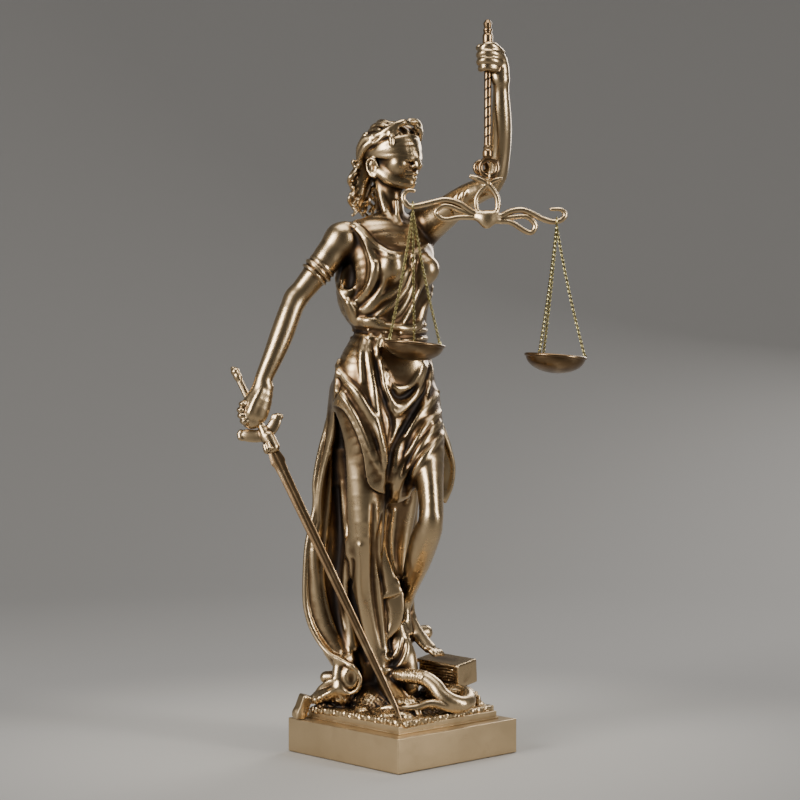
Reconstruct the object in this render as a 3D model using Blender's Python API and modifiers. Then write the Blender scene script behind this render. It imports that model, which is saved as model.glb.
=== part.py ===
"""Lady Justice: a cast bronze-finished statuette on a square plinth.

Metres, +Z up, origin at the middle of the plinth's underside, plinth sides along X and Y.
The figure is shaped as clay: strokes are blended in a block of distances, which is then skinned.
Its points are in shares of its own height, as they line up for a viewer at EYE; y runs away.
"""

import math

import bmesh
import bpy
import numpy as np
import openvdb
from mathutils import Matrix, Vector

# Driving sizes, metres
FIGURE_HEIGHT = 0.5062
PLINTH_WIDTH = 0.138
PLINTH_HEIGHT = 0.0286
TIER_WIDTH = 0.114
TIER_HEIGHT = 0.0066
EDGE = 0.0008
CLEARANCE = 0.0004
ROD_RADIUS = 0.0030
GRIP_RADIUS = 0.0030
BLADE_WIDTH = 0.0082
BLADE_THICKNESS = 0.0030
BEAM_RADIUS = 0.0021
PAN_RADIUS = 0.0245
PAN_DEPTH = 0.0135
PAN_WALL = 0.0014
CHAIN_RADIUS = 0.0009
RING_RADIUS = 0.0036
RING_WIRE = 0.0007
VIEW_TURN = math.radians(-43.1)

# One share of the figure's height: 593 of them from the ground to the crown
SHARE = FIGURE_HEIGHT / 593
PLINTH_TOP = PLINTH_HEIGHT + TIER_HEIGHT
CLAY_VOXEL = 1.7
FIGURE_TRIANGLES = 4850

# Folds of the cloth, how thick their crests are and how softly they run out
FOLD_SHARE = 0.85
FOLD_BLEND = 4.5

for old in list(bpy.data.objects):
    bpy.data.objects.remove(old)

EYE = np.array([-2.2, -1825.0, 351.4])


class Clay:
    """A block of voxels that holds the distance to the surface, negative inside."""

    def __init__(self, low, high, voxel):
        self.voxel = voxel
        self.low = np.asarray(low, float)
        self.count = np.ceil((np.asarray(high, float) - self.low) / voxel).astype(int) + 1
        self.field = np.full(self.count, 60.0, np.float32)
        self.axes = [
            (start + voxel * np.arange(number)).astype(np.float32)
            for start, number in zip(self.low, self.count)
        ]

    def window(self, low, high):
        first = np.clip(np.floor((low - self.low) / self.voxel).astype(int), 0, self.count)
        last = np.clip(np.ceil((high - self.low) / self.voxel).astype(int) + 1, 0, self.count)
        if (last <= first).any():
            return None
        return tuple(slice(a, b) for a, b in zip(first, last))

    def places(self, part):
        x, y, z = (axis[span] for axis, span in zip(self.axes, part))
        return x[:, None, None], y[None, :, None], z[None, None, :]

    def work(self, stroke):
        """Adds or cuts one stroke."""
        reach = stroke.blend + 2.0 * self.voxel + 1.0
        low, high = stroke.box()
        whole = self.window(low - reach, high + reach)
        if whole is None:
            return
        origin = np.array([span.start for span in whole])
        shape = [span.stop - span.start for span in whole]
        near = np.full(shape, 60.0, np.float32)
        for low, high, distance in stroke.pieces():
            part = self.window(low - reach, high + reach)
            if part is None:
                continue
            part = tuple(
                slice(max(a.start, b.start), min(a.stop, b.stop)) for a, b in zip(part, whole)
            )
            if any(span.stop <= span.start for span in part):
                continue
            local = tuple(slice(s.start - o, s.stop - o) for s, o in zip(part, origin))
            near[local] = np.minimum(near[local], distance(*self.places(part)))
        old = self.field[whole]
        k = max(stroke.blend, 1e-3)
        if stroke.cut:
            mix = np.clip(k - np.abs(old + near), 0.0, None) / k
            self.field[whole] = np.maximum(old, -near) + mix * mix * k * 0.25
        else:
            mix = np.clip(k - np.abs(old - near), 0.0, None) / k
            self.field[whole] = np.minimum(old, near) - mix * mix * k * 0.25

    def sample(self, points):
        """Trilinear distances at points of shape (n, 3)."""
        where = np.clip((points - self.low) / self.voxel, 0, self.count - 1.001)
        base = where.astype(int)
        part = where - base
        total = np.zeros(len(points))
        for i in (0, 1):
            for j in (0, 1):
                for k in (0, 1):
                    weight = (
                        (part[:, 0] if i else 1 - part[:, 0])
                        * (part[:, 1] if j else 1 - part[:, 1])
                        * (part[:, 2] if k else 1 - part[:, 2])
                    )
                    total += weight * self.field[base[:, 0] + i, base[:, 1] + j, base[:, 2] + k]
        return total

    def hit(self, starts, ways, length):
        """How far each ray goes before it meets the clay, or None where it misses."""
        steps = np.arange(0.0, length, self.voxel * 0.75)
        found = np.full(len(starts), np.nan)
        for i, (start, way) in enumerate(zip(starts, ways)):
            values = self.sample(start + steps[:, None] * way)
            inside = np.nonzero(values < 0)[0]
            if len(inside) == 0:
                continue
            n = inside[0]
            if n == 0:
                found[i] = 0.0
                continue
            a, b = values[n - 1], values[n]
            a = min(a, 3.0 * self.voxel)
            found[i] = steps[n - 1] + (steps[n] - steps[n - 1]) * a / (a - b)
        return found

    def mesh(self):
        grid = openvdb.FloatGrid(self.voxel * 4)
        band = np.clip(self.field, -4 * self.voxel, 4 * self.voxel)
        grid.copyFromArray(band)
        points, triangles, quads = grid.convertToPolygons(isovalue=0.0, adaptivity=0.0)
        return points * self.voxel + self.low, triangles, quads


def smooth_rows(rows, pace):
    """Rows read from a Catmull-Rom curve through the given rows, about pace apart."""
    rows = np.asarray(rows, float)
    if len(rows) == 1:
        return rows
    ends = np.vstack([2 * rows[0] - rows[1], rows, 2 * rows[-1] - rows[-2]])
    result = []
    for a, b, c, d in zip(ends[:-3], ends[1:-2], ends[2:-1], ends[3:]):
        count = max(1, int(math.ceil(np.linalg.norm(c[:3] - b[:3]) / pace)))
        for t in np.arange(count) / count:
            result.append(
                0.5 * (2 * b + (c - a) * t + (2 * a - 5 * b + 4 * c - d) * t * t
                       + (3 * b - a - 3 * c + d) * t ** 3)
            )
    result.append(rows[-1])
    result = np.array(result)
    result[:, 3:] = np.maximum(result[:, 3:], 0.15)
    return result


def thinned(count, taper):
    """Shares of a fold's radius along it, falling to taper at both ends."""
    t = np.linspace(0, 1, count)
    shape = np.clip(np.minimum(t, 1 - t) / 0.3, 0, 1)
    return taper + (1 - taper) * np.sin(shape * math.pi / 2)


class Limb:
    """A tube with an oval section. A row is x, y, z, half width along side, half depth."""

    def __init__(self, rows, side=(1, 0, 0), blend=3.0, cut=False, pace=None):
        rows = np.asarray(rows, float)
        if rows.shape[1] == 4:
            rows = np.hstack([rows, rows[:, 3:4]])
        if pace is None:
            pace = max(2.5, 0.6 * float(np.max(rows[:, 3:])))
        self.round = bool(np.allclose(rows[:, 3], rows[:, 4]))
        self.rows = smooth_rows(rows, pace)
        self.side = np.asarray(side, float)
        self.blend = blend
        self.cut = cut

    def box(self):
        size = self.rows[:, 3:5].max(axis=1)[:, None]
        return (self.rows[:, :3] - size).min(axis=0), (self.rows[:, :3] + size).max(axis=0)

    def pieces(self):
        rows = self.rows
        if len(rows) == 1:
            rows = np.vstack([rows, rows + [0, 0, 1e-3, 0, 0]])
        for a, b in zip(rows[:-1], rows[1:]):
            size = max(a[3], a[4], b[3], b[4])
            low = np.minimum(a[:3], b[:3]) - size
            high = np.maximum(a[:3], b[:3]) + size
            yield low, high, self.distance(a, b)

    def distance(self, a, b):
        axis = b[:3] - a[:3]
        length = float(np.linalg.norm(axis)) + 1e-9
        along = axis / length
        side = self.side - along * np.dot(self.side, along)
        side /= np.linalg.norm(side) + 1e-9
        front = np.cross(along, side)
        a32 = a.astype(np.float32)
        b32 = b.astype(np.float32)

        def measure(x, y, z):
            x = x - a32[0]
            y = y - a32[1]
            z = z - a32[2]
            s = x * np.float32(along[0]) + y * np.float32(along[1]) + z * np.float32(along[2])
            t = np.clip(s / np.float32(length), 0, 1)
            if self.round:
                over = s - t * np.float32(length)
                square = x * x + y * y + z * z - s * s + over * over
                return np.sqrt(np.maximum(square, 0)) - (a32[3] + t * (b32[3] - a32[3]))
            over = s - t * np.float32(length)
            u = x * np.float32(side[0]) + y * np.float32(side[1]) + z * np.float32(side[2])
            v = x * np.float32(front[0]) + y * np.float32(front[1]) + z * np.float32(front[2])
            wide = a32[3] + t * (b32[3] - a32[3])
            deep = a32[4] + t * (b32[4] - a32[4])
            end = np.minimum(wide, deep)
            u2 = (u / wide) ** 2
            v2 = (v / deep) ** 2
            o2 = (over / end) ** 2
            level = np.sqrt(u2 + v2 + o2) + 1e-6
            slope = np.sqrt(u2 / wide ** 2 + v2 / deep ** 2 + o2 / end ** 2) / level + 1e-6
            return (level - 1) / slope

        return measure


class Ball:
    """An ellipsoid with half sizes along three axes, the columns of turn."""

    def __init__(self, centre, sizes, turn=None, blend=3.0, cut=False):
        self.centre = np.asarray(centre, float)
        self.sizes = np.asarray(sizes, float) * np.ones(3)
        self.turn = np.eye(3) if turn is None else np.asarray(turn, float)
        self.blend = blend
        self.cut = cut

    def box(self):
        reach = np.sqrt(((self.turn * self.sizes) ** 2).sum(axis=1))
        return self.centre - reach, self.centre + reach

    def pieces(self):
        low, high = self.box()
        centre = self.centre.astype(np.float32)
        turn = self.turn.astype(np.float32)
        sizes = self.sizes.astype(np.float32)

        def measure(x, y, z):
            x = x - centre[0]
            y = y - centre[1]
            z = z - centre[2]
            level = 0
            slope = 0
            for i in range(3):
                w = (x * turn[0, i] + y * turn[1, i] + z * turn[2, i]) / sizes[i]
                level = level + w * w
                slope = slope + w * w / sizes[i] ** 2
            level = np.sqrt(level) + 1e-6
            return (level - 1) / (np.sqrt(slope) / level + 1e-6)

        yield low, high, measure


class Block:
    """A box with rounded edges, its half sizes along the columns of turn."""

    def __init__(self, centre, sizes, turn=None, rounding=1.0, blend=1.0, cut=False):
        self.centre = np.asarray(centre, float)
        self.sizes = np.asarray(sizes, float)
        self.turn = np.eye(3) if turn is None else np.asarray(turn, float)
        self.rounding = rounding
        self.blend = blend
        self.cut = cut

    def box(self):
        reach = np.abs(self.turn * self.sizes).sum(axis=1)
        return self.centre - reach, self.centre + reach

    def pieces(self):
        low, high = self.box()
        centre = self.centre.astype(np.float32)
        turn = self.turn.astype(np.float32)
        sizes = (self.sizes - self.rounding).astype(np.float32)

        def measure(x, y, z):
            x = x - centre[0]
            y = y - centre[1]
            z = z - centre[2]
            out = 0
            inner = None
            for i in range(3):
                w = np.abs(x * turn[0, i] + y * turn[1, i] + z * turn[2, i]) - sizes[i]
                out = out + np.maximum(w, 0) ** 2
                inner = w if inner is None else np.maximum(inner, w)
            return np.sqrt(out) + np.minimum(inner, 0) - np.float32(self.rounding)

        yield low, high, measure


def seen(x, y, z):
    """A point that lines up with (x, z) on the middle plane for the viewer, at depth y."""
    k = 1 + y / 1825.0
    return np.array([EYE[0] + (x - EYE[0]) * k, y, EYE[2] + (z - EYE[2]) * k])


def seen_rows(rows):
    """Rows of x, y, z, sizes as they line up for the viewer, turned into real rows."""
    rows = np.asarray(rows, float).copy()
    k = 1 + rows[:, 1] / 1825.0
    rows[:, 0] = EYE[0] + (rows[:, 0] - EYE[0]) * k
    rows[:, 2] = EYE[2] + (rows[:, 2] - EYE[2]) * k
    return rows


def turn_z(angle):
    c, s = math.cos(angle), math.sin(angle)
    return np.array([[c, -s, 0], [s, c, 0], [0, 0, 1.0]])


def turn_y(angle):
    c, s = math.cos(angle), math.sin(angle)
    return np.array([[c, 0, s], [0, 1.0, 0], [-s, 0, c]])


BODY_TURN = math.radians(38)
BODY_SIDE = np.array([math.cos(BODY_TURN), math.sin(BODY_TURN), 0.0])
BODY_FRONT = np.array([math.sin(BODY_TURN), -math.cos(BODY_TURN), 0.0])
HEAD_TURN = math.radians(50)
BAND_AT_BROW = 11.5
BAND_AT_EAR = 3.0
HEAD_CENTRE = np.array([-10.5, 4.0, 595.0])
BOOK_SIZES = (26.5, 16.0, 12.0)
GROUND = 41.2


class Figure:
    def __init__(self, low, high, voxel):
        self.guide = Clay(low, high, voxel)
        self.strokes = []

    def add(self, stroke):
        self.strokes.append(stroke)
        self.guide.work(stroke)

    def limb(self, rows, side=(1, 0, 0), blend=3.0, cut=False, pace=None):
        self.add(Limb(seen_rows(rows), side, blend, cut, pace))

    def real_limb(self, rows, side=(1, 0, 0), blend=3.0, cut=False, pace=None):
        self.add(Limb(rows, side, blend, cut, pace))

    def ball(self, centre, sizes, turn=None, blend=3.0, cut=False):
        self.add(Ball(seen(*centre), sizes, turn, blend, cut))

    def line(self, points, radius=3.0, sink=0.35, blend=2.0, cut=False, taper=0.35):
        """A fold drawn on the surface through (x, z) as the viewer sees it."""
        rows = smooth_rows([(x, 0.0, z, radius) for x, z in points], 3.0)
        rows[:, 3] *= thinned(len(rows), taper)
        ways = rows[:, :3] - EYE
        ways /= np.linalg.norm(ways, axis=1)[:, None]
        starts = EYE + ways * (1825.0 - 150.0)
        self.laid(rows[:, 3], starts, ways, 300.0, sink, blend, cut)

    def laid(self, radii, starts, ways, length, sink, blend, cut):
        depth = self.guide.hit(starts, ways, length)
        keep = np.isfinite(depth)
        count = len(radii)
        if keep.sum() < 2:
            return
        good = np.interp(np.arange(count), np.nonzero(keep)[0], depth[keep])
        top = radii.max()
        swell = (radii - radii.min()) / (top - radii.min()) if top > radii.min() else np.ones(count)
        if cut:
            good += (1 + sink) * top * swell - radii
        else:
            good += radii - (1 - sink) * top * swell
        places = starts + ways * good[:, None]
        self.add(Limb(np.column_stack([places, radii]), (1, 0, 0), blend, cut, 3.0))

    def groove(self, points, radius=2.0, blend=2.0, sink=-0.1, taper=0.3):
        self.line(points, radius, sink, blend, True, taper)

    def around(self, rows, radius, sink, blend, cut=False, centre=(-20, 5), taper=0.35):
        """A fold laid on from outside: rows are (azimuth in degrees, z) about an upright axis."""
        rows = smooth_rows([(a, 0.0, z, radius) for a, z in rows], 4.0)
        count = len(rows)
        radii = radius * thinned(count, taper)
        angle = np.radians(rows[:, 0])
        out = np.column_stack([np.sin(angle), -np.cos(angle), np.zeros(count)])
        axis = np.column_stack([np.full(count, centre[0]), np.full(count, centre[1]), rows[:, 2]])
        self.laid(radii, axis + out * 140, -out, 140.0, sink, blend, cut)


def torso(f):
    f.limb([(-14, 8, 588, 13.5, 14), (-13, 8, 560, 13, 13.5), (-12, 7, 540, 14, 14), (-11, 5, 524, 20, 16)],
           BODY_SIDE, 3)
    f.limb([
        (-12, 4, 528, 22, 14), (-11, 2, 515, 46, 21), (-10, 0, 498, 49, 27), (-9, -2, 478, 46, 29),
        (-10, -1, 455, 43, 28), (-11, 0, 435, 40, 27), (-11, 0, 420, 39, 28), (-12, 0, 405, 42, 31),
        (-15, 0, 385, 52, 36), (-18, 0, 362, 58, 39), (-18, 1, 340, 57, 38), (-18, 2, 315, 52, 34),
        (-19, 3, 290, 44, 30)], BODY_SIDE, 3, pace=7)
    f.limb([(-58, -22, 514, 14), (-30, -4, 520, 13), (0, 12, 522, 13), (26, 26, 528, 14)], blend=6)
    for x, y, z in ((-12, -33, 484), (22, -9, 482)):
        f.ball((x, y, z), (15, 14, 15), blend=10)
    # cloth gathered at her right side
    f.limb([(-50, -8, 478, 12, 22), (-53, -8, 460, 13, 22), (-50, -6, 444, 12, 22),
            (-44, -2, 430, 8, 20)], blend=6)
    f.ball((-56, 0, 482), (11, 14, 24), blend=5)
    # neck cords and collar bones
    f.limb([(-24, 4, 568, 3), (-18, -6, 545, 3.2), (-8, -12, 527, 2.6)], blend=4)
    f.limb([(-6, -8, 550, 2), (-4, -12, 528, 2)], blend=4)
    f.limb([(-44, -26, 524, 3), (-24, -20, 520, 2.6), (-8, -14, 519, 2)], blend=4)
    # belly
    f.ball((3, -21, 383), (20, 14, 21), blend=12)


def legs(f):
    f.limb([(-37, -14, 350, 30, 28), (-38, -20, 290, 25, 25), (-37, -24, 232, 19, 20),
            (-37, -24, 218, 18, 18),
            (-36, -14, 180, 17, 18), (-27, -10, 125, 12, 13), (-18, -10, 84, 9, 10),
            (-14, -12, 68, 9, 10)], blend=6)
    f.limb([(10, 8, 350, 28, 28), (20, -18, 310, 22, 24), (28, -42, 262, 13, 19), (29, -50, 236, 12, 15),
            (28, -50, 226, 12, 14), (22, -40, 211, 13.5, 15), (15, -22, 190, 12.5, 14), (8, -2, 170, 9, 10),
            (4, 18, 153, 6, 6.5), (3, 30, 144, 5.5, 6)], blend=4)
    f.ball((30, -58, 231), (8, 6, 10), blend=6)
    # the bare foot on the book
    f.limb([(3, 32, 143, 6, 6.5), (7, 32, 134, 6.5, 7), (15, 28, 119, 8, 6), (23, 22, 107, 8.5, 4.5),
            (28, 19, 102, 8, 4)],
           (0.8, 0.6, 0), 3, pace=4)
    f.ball((1, 40, 132), (6, 7, 7), blend=4)
    for n in range(5):
        x, y = 25 + 2.3 * n, 15 + 3.0 * n
        big = 2.9 if n == 0 else 2.0
        f.limb([(x, y, 102, big), (x + 4, y - 4, 100, big),
                (x + 7, y - 6 + n, 97, big * 0.9)], blend=1.2, pace=2)
    # the standing foot
    f.limb([(-15, -12, 72, 10, 10), (-10, -22, 62, 9.5, 8), (-3, -36, 54, 10, 6), (2, -44, 50, 10, 4.5)],
           (0.8, 0.3, 0), 4, pace=4)
    for n in range(5):
        x, y = -5 + 3.6 * n, -47 + 2.0 * n
        big = 3.2 if n == 4 else 2.3
        f.limb([(x, y, 52, big), (x + 1.5, y - 5, 51, big),
                (x + 2.5, y - 8, 48.5, big * 0.9)], blend=1.2, pace=2)


def skirt(f):
    f.limb([(-18, 8, 352, 57, 34), (-27, 12, 310, 53, 30), (-36, 16, 260, 53, 26), (-38, 20, 225, 52, 24),
            (-44, 20, 200, 54, 24), (-44, 24, 160, 54, 24), (-38, 26, 120, 48, 24), (-26, 24, 85, 38, 24),
            (-20, 20, 52, 38, 26)],
           (1, 0.25, 0), 6, pace=9)
    f.limb([(-64, -22, 338, 3, 8), (-63, -22, 310, 8, 16), (-66, -18, 270, 15, 22), (-70, -14, 225, 17, 22),
            (-72, -12, 180, 16, 20), (-66, -10, 130, 13, 18), (-50, -8, 80, 9, 14)], blend=5, cut=True)
    f.limb([(10, -20, 262, 4, 10), (6, -16, 230, 12, 22), (2, -12, 190, 14, 24), (0, -10, 140, 14, 22),
            (0, -6, 100, 12, 20)], blend=5, cut=True)
    # rim of the sweep down the left, curling up in a scroll by the ground
    f.limb([(-69, -6, 346, 3), (-75, -4, 326, 3.2), (-81, -2, 301, 3.8), (-86, 0, 270, 4),
            (-85, 2, 246, 4.4),
            (-89, 2, 226, 4.6), (-93.5, 2, 205, 4.4), (-95.5, 2, 175, 4), (-96, 2, 150, 3.6),
            (-93.5, 1, 135, 3.4),
            (-89, -1, 122, 3.2), (-81, -5, 108, 3), (-72, -10, 98, 3), (-61, -14, 91, 3),
            (-50, -19, 85, 3)], blend=2.5)
    # folds inside the sweep
    for rows in (
        [(-74, 6, 320, 2.5), (-77, 6, 270, 4.5), (-80, 8, 225, 5.5), (-84, 8, 185, 5), (-80, 6, 150, 5),
         (-69, 2, 122, 5),
         (-58, -4, 104, 4)],
        [(-66, 6, 300, 2.5), (-68, 8, 260, 4), (-72, 8, 215, 5), (-70, 8, 175, 5), (-66, 6, 145, 5),
         (-57, 0, 118, 4),
         (-50, -6, 98, 3)],
        [(-60, 6, 230, 3), (-60, 6, 190, 4.5), (-58, 4, 150, 4.5), (-50, 0, 115, 4), (-42, -4, 90, 3)],
    ):
        f.limb(rows, blend=3)
    # scroll of cloth at the ground
    f.limb([(-52, -18, 85, 3), (-45, -20, 79, 3), (-42.5, -21, 71, 3), (-46, -20, 62.5, 3),
            (-53, -18, 59.5, 3),
            (-60, -17, 62, 3), (-63, -16, 70, 2.6)], blend=1.5, pace=3)
    f.limb([(-61, -12, 94, 6), (-61, -15, 80, 6.5), (-61, -15, 66, 6)], blend=2.5)
    f.limb([(-56, -2, 92, 10), (-58, -4, 74, 11), (-60, -6, 56, 12)], blend=4)
    f.limb([(-64, -12, 68, 6.5), (-76, -10, 62, 5.5), (-88, -8, 56, 5)], blend=3)
    f.limb([(-76, 4, 74, 6.3), (-66, 2, 74, 7)], blend=2)
    # long folds of the clinging cloth on the standing leg
    for rows, radius in (
        ([(-61, 271), (-55, 253), (-48, 233), (-42, 222), (-34, 216)], 2.4),
        ([(-66, 330), (-60, 290), (-54, 250), (-52, 225), (-51, 202), (-55, 179), (-54, 156), (-48, 133),
          (-40, 100)], 3.0),
        ([(-40, 262), (-36, 240), (-40, 225), (-37, 202), (-40, 179), (-37, 155), (-32, 126), (-25, 98),
          (-18, 80)], 2.6),
        ([(-60, 310), (-52, 275), (-45, 250), (-40, 236)], 2.6),
    ):
        f.line(rows, radius * FOLD_SHARE, 0.0, FOLD_BLEND)
    f.groove([(-31, 240), (-31, 220), (-29, 202), (-28, 164), (-24, 130), (-20, 105)], 3.6, 2.5, 0.2)
    # hanging strip between the legs, in two tiers
    f.limb([(-19, -26, 262, 3, 2.5), (-17, -24, 243, 4, 2.5), (-20, -22, 220, 5, 2.5),
            (-20, -20, 195, 6, 3),
            (-17, -18, 172, 8, 3.5), (-11, -16, 154, 11.5, 4)], (1, 0, 0), 2, pace=5)
    f.limb([(-9, -14, 160, 10, 3), (-7.5, -13, 142, 10, 3.2), (-8, -13, 130, 9, 3), (-14, -13, 118, 5.5, 2.5),
            (-19, -13, 108, 1.6, 1.6)],
           (1, 0, 0), 1.5, pace=5)
    # swirl of cloth above the ankle
    f.limb([(-21, -14, 103, 2.6), (-13, -16, 108, 3.2), (-6, -17, 104, 3.2), (-7, -17, 98, 2.8),
            (-13, -16, 97, 2.2)], blend=2, pace=3)
    for rows, radius in (
        ([(-22, 250), (-24, 220), (-25, 202), (-24, 179), (-21, 157)], 1.8),
        ([(-16, 243), (-15, 231), (-14, 202), (-8, 175), (1, 156)], 2.0),
        ([(-18, 225), (-19, 195), (-15, 172), (-10, 156)], 1.6),
    ):
        f.line(rows, radius, 0.2, 1.5)
    # dark folds of the back cloth beside the bare leg
    for rows in (
        [(8, 10, 290, 5), (8, 12, 250, 5), (2, 14, 215, 5), (-1, 14, 180, 5), (2, 12, 150, 5),
         (6, 8, 120, 5), (4, 6, 90, 6)],
        [(18, 14, 280, 4), (16, 16, 240, 4), (10, 16, 200, 4), (6, 16, 165, 4)],
        [(-6, 2, 250, 3), (-8, 4, 215, 4), (-10, 4, 180, 4), (-8, 2, 140, 4), (-6, 0, 110, 5),
         (-6, -4, 85, 6)],
    ):
        f.limb(rows, blend=3)


def clothes(f):
    f.limb([(-20, -12, 350, 50, 30), (-14, -18, 310, 42, 26), (-8, -20, 280, 30, 22),
            (-8, -20, 262, 16, 14)],
           BODY_SIDE, 8, pace=8)
    # flap behind the bare thigh
    f.limb([(36, 6, 325, 6, 4), (41, 10, 305, 8, 4), (43, 12, 285, 9, 4), (42, 14, 268, 9, 4),
            (40, 14, 254, 5, 4)],
           (1, 0, 0), 3, pace=5)
    f.limb([(40, 2, 322, 2), (47, 6, 303, 2.2), (51, 10, 285, 2.4), (49, 12, 266, 2.4),
            (43, 14, 250, 2)], blend=2)
    # folds of the skirt front
    for rows, radius in (
        ([(-32, 416), (-34, 402), (-32, 385), (-28, 362), (-26, 344), (-21, 316), (-18, 293),
          (-16, 268)], 3.2),
        ([(-21, 416), (-24, 405), (-26, 393)], 2.4),
        ([(-38, 414), (-41, 395), (-40, 370)], 2.2),
        ([(-16, 379), (-12, 367), (-5, 363), (6, 365), (15, 374), (21, 387)], 2.4),
        ([(-21, 392), (-19, 367), (-11, 351), (-5, 345), (3, 348), (12, 358), (18, 369), (25, 387)], 2.8),
        ([(-14, 346), (-9, 339), (-2, 340), (7, 348), (18, 360), (26, 371), (29, 380)], 2.8),
        ([(-63, 379), (-48, 360), (-39, 345), (-27, 324), (-20, 309), (-15, 285)], 3.2),
        ([(-66, 385), (-57, 371), (-44, 358), (-32, 339), (-25, 328), (-19, 300)], 2.6),
        ([(-66, 362), (-52, 345), (-42, 328), (-32, 305), (-22, 280)], 2.6),
        ([(-68, 349), (-60, 343), (-50, 325), (-41, 307), (-32, 286), (-22, 267), (-16, 258)], 2.8),
        ([(-16, 258), (-25, 260), (-36, 264)], 2.0),
        ([(-64, 392), (-65, 371), (-67, 353)], 2.6),
        ([(37, 360), (26, 346), (12, 332), (4, 316)], 3.2),
        ([(38, 340), (23, 323), (13, 307), (3, 288), (-4, 270), (-9, 255)], 3.0),
        ([(41, 318), (28, 302), (15, 284), (9, 267), (4, 250)], 3.0),
        ([(38, 329), (20, 308), (8, 288), (-1, 268), (-5, 250)], 2.2),
        ([(29, 385), (28, 372), (22, 354), (14, 338)], 2.6),
    ):
        f.line(rows, radius * FOLD_SHARE, 0.0, FOLD_BLEND)
    for rows, radius in (
        ([(26, 368), (22, 356), (10, 336), (-2, 316), (-9, 301), (-12, 282), (-14, 259), (-13, 240)], 3.4),
        ([(-12, 372), (-6, 356), (4, 356), (16, 366)], 1.8),
        ([(-28, 400), (-22, 370), (-16, 348), (-10, 330), (-12, 310)], 2.4),
        ([(-56, 358), (-44, 336), (-34, 312), (-26, 290)], 1.8),
        ([(30, 328), (18, 312), (8, 296), (0, 276)], 1.8),
    ):
        f.groove(rows, radius, 3.5)
    # the dress round the chest: rim of the armhole, neckline and the fan of folds
    for rows, radius in (
        ([(-57, 528), (-48, 525), (-41, 515), (-35, 500), (-32, 486), (-34, 469), (-41, 457), (-50, 449),
          (-58, 454),
          (-64, 464), (-66, 473)], 2.2),
        ([(-45, 525), (-37, 513), (-30, 498), (-27, 486), (-31, 469), (-39, 454), (-46, 445)], 2.0),
        ([(-47, 527), (-37, 518), (-29, 509), (-17, 501), (-8, 498), (4, 497), (14, 500), (24, 508)], 2.0),
        ([(-37, 515), (-26, 506), (-14, 499)], 1.6),
        ([(11, 494), (5, 480), (-2, 465), (-12, 457), (-22, 451), (-31, 443), (-39, 438), (-47, 440),
          (-54, 447)], 2.8),
        ([(12, 490), (9, 478), (4, 463), (-4, 453), (-13, 445), (-24, 436), (-35, 429)], 2.4),
        ([(-17, 473), (-21, 461), (-31, 449), (-39, 442), (-47, 443), (-53, 449)], 2.0),
        ([(-26, 487), (-28, 473), (-35, 458)], 1.8),
        ([(22, 473), (15, 459), (10, 447), (4, 435), (0, 428)], 2.4),
        ([(30, 464), (27, 453), (21, 441), (18, 431), (12, 423)], 2.4),
        ([(11, 466), (5, 452), (-2, 441), (-10, 434)], 2.2),
        ([(-57, 447), (-54, 441), (-49, 431), (-41, 428), (-31, 427), (-17, 425), (0, 423), (10, 423),
          (24, 427)], 3.6),
        ([(-55, 450), (-46, 434), (-33, 431), (-20, 430)], 2.6),
    ):
        f.line(rows, radius * FOLD_SHARE, 0.0, FOLD_BLEND)
    for rows, radius in (
        ([(-46, 424), (-31, 421), (-15, 419), (0, 418), (22, 420)], 1.6),
        ([(-46, 417), (-31, 414), (-15, 412), (0, 411), (22, 413)], 1.6),
    ):
        f.line(rows, radius, 0.1, 1.0, taper=1.0)
    # hollow of the bare side inside the armhole
    f.ball((-54, -26, 476), (7, 6, 14), blend=5, cut=True)


def hand_right(f):
    # her right hand, closed on the sword grip: the smooth back, then the knuckles on its edge
    f.limb([(-137, -42, 364, 8.5, 8), (-143, -42, 352, 13, 10), (-148.5, -42, 339, 14.5, 11),
            (-150.5, -42, 331.5, 10.5, 9), (-155, -42, 327.5, 4, 4.5)], (1, 0, 0), 4)
    for x, z in ((-160, 347), (-161.5, 340), (-160, 333.5), (-157, 327.5)):
        f.ball((x, -47, z), (3.7, 6, 3.4), blend=1.5)


def hand_left(f):
    f.limb([(98.5, -62, 670, 8, 6.5), (97.5, -60, 680, 8.6, 7.5), (95, -59, 693, 8.6, 8.5),
            (92, -60, 704, 7.5, 7), (90, -61, 709, 4, 4)], (1, 0, 0), 4)
    for n in range(4):
        z = 706 - 6.4 * n
        f.limb([(96.5 + 0.7 * n, -66, z, 3.9), (91, -71.5, z - 0.8, 3.9), (83.5, -73, z - 2.6, 3.7),
                (78.3, -69, z - 4.4, 3.4),
                (77, -62, z - 5.4, 3.1)], blend=1.2, pace=2.5)
    f.limb([(92, -55, 688, 4), (83, -54, 698, 3.8), (79, -58, 706, 3.3)], blend=1.5)


def right_arm(f):
    f.ball((-62, -22, 510), (16, 16, 17), blend=8)
    f.limb([(-62, -22, 512, 14.5), (-74, -24, 494, 15), (-90, -25, 473, 12.5),
            (-107, -26, 452, 11)], blend=4)
    f.limb([(-106, -26, 454, 11), (-112, -30, 440, 11.5), (-121, -34, 415, 11.5), (-129, -38, 395, 10.2),
            (-139, -41, 372, 8.5), (-143, -42, 360, 7.5)], blend=4)
    # armlet
    along = np.array([-18, -2, -20.0])
    along /= np.linalg.norm(along)
    middle = seen(-84, -25, 481)
    for shift, size in ((-5.5, 1.5), (0, 2.2), (5.5, 1.5)):
        c = middle + along * shift
        ring = []
        u = np.cross(along, (0, 1, 0))
        u /= np.linalg.norm(u)
        v = np.cross(along, u)
        for t in np.linspace(0, 2 * math.pi, 13):
            ring.append((*(c + (u * math.cos(t) + v * math.sin(t)) * 13.8), size))
        f.real_limb(ring, blend=1.0, pace=4)


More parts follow.
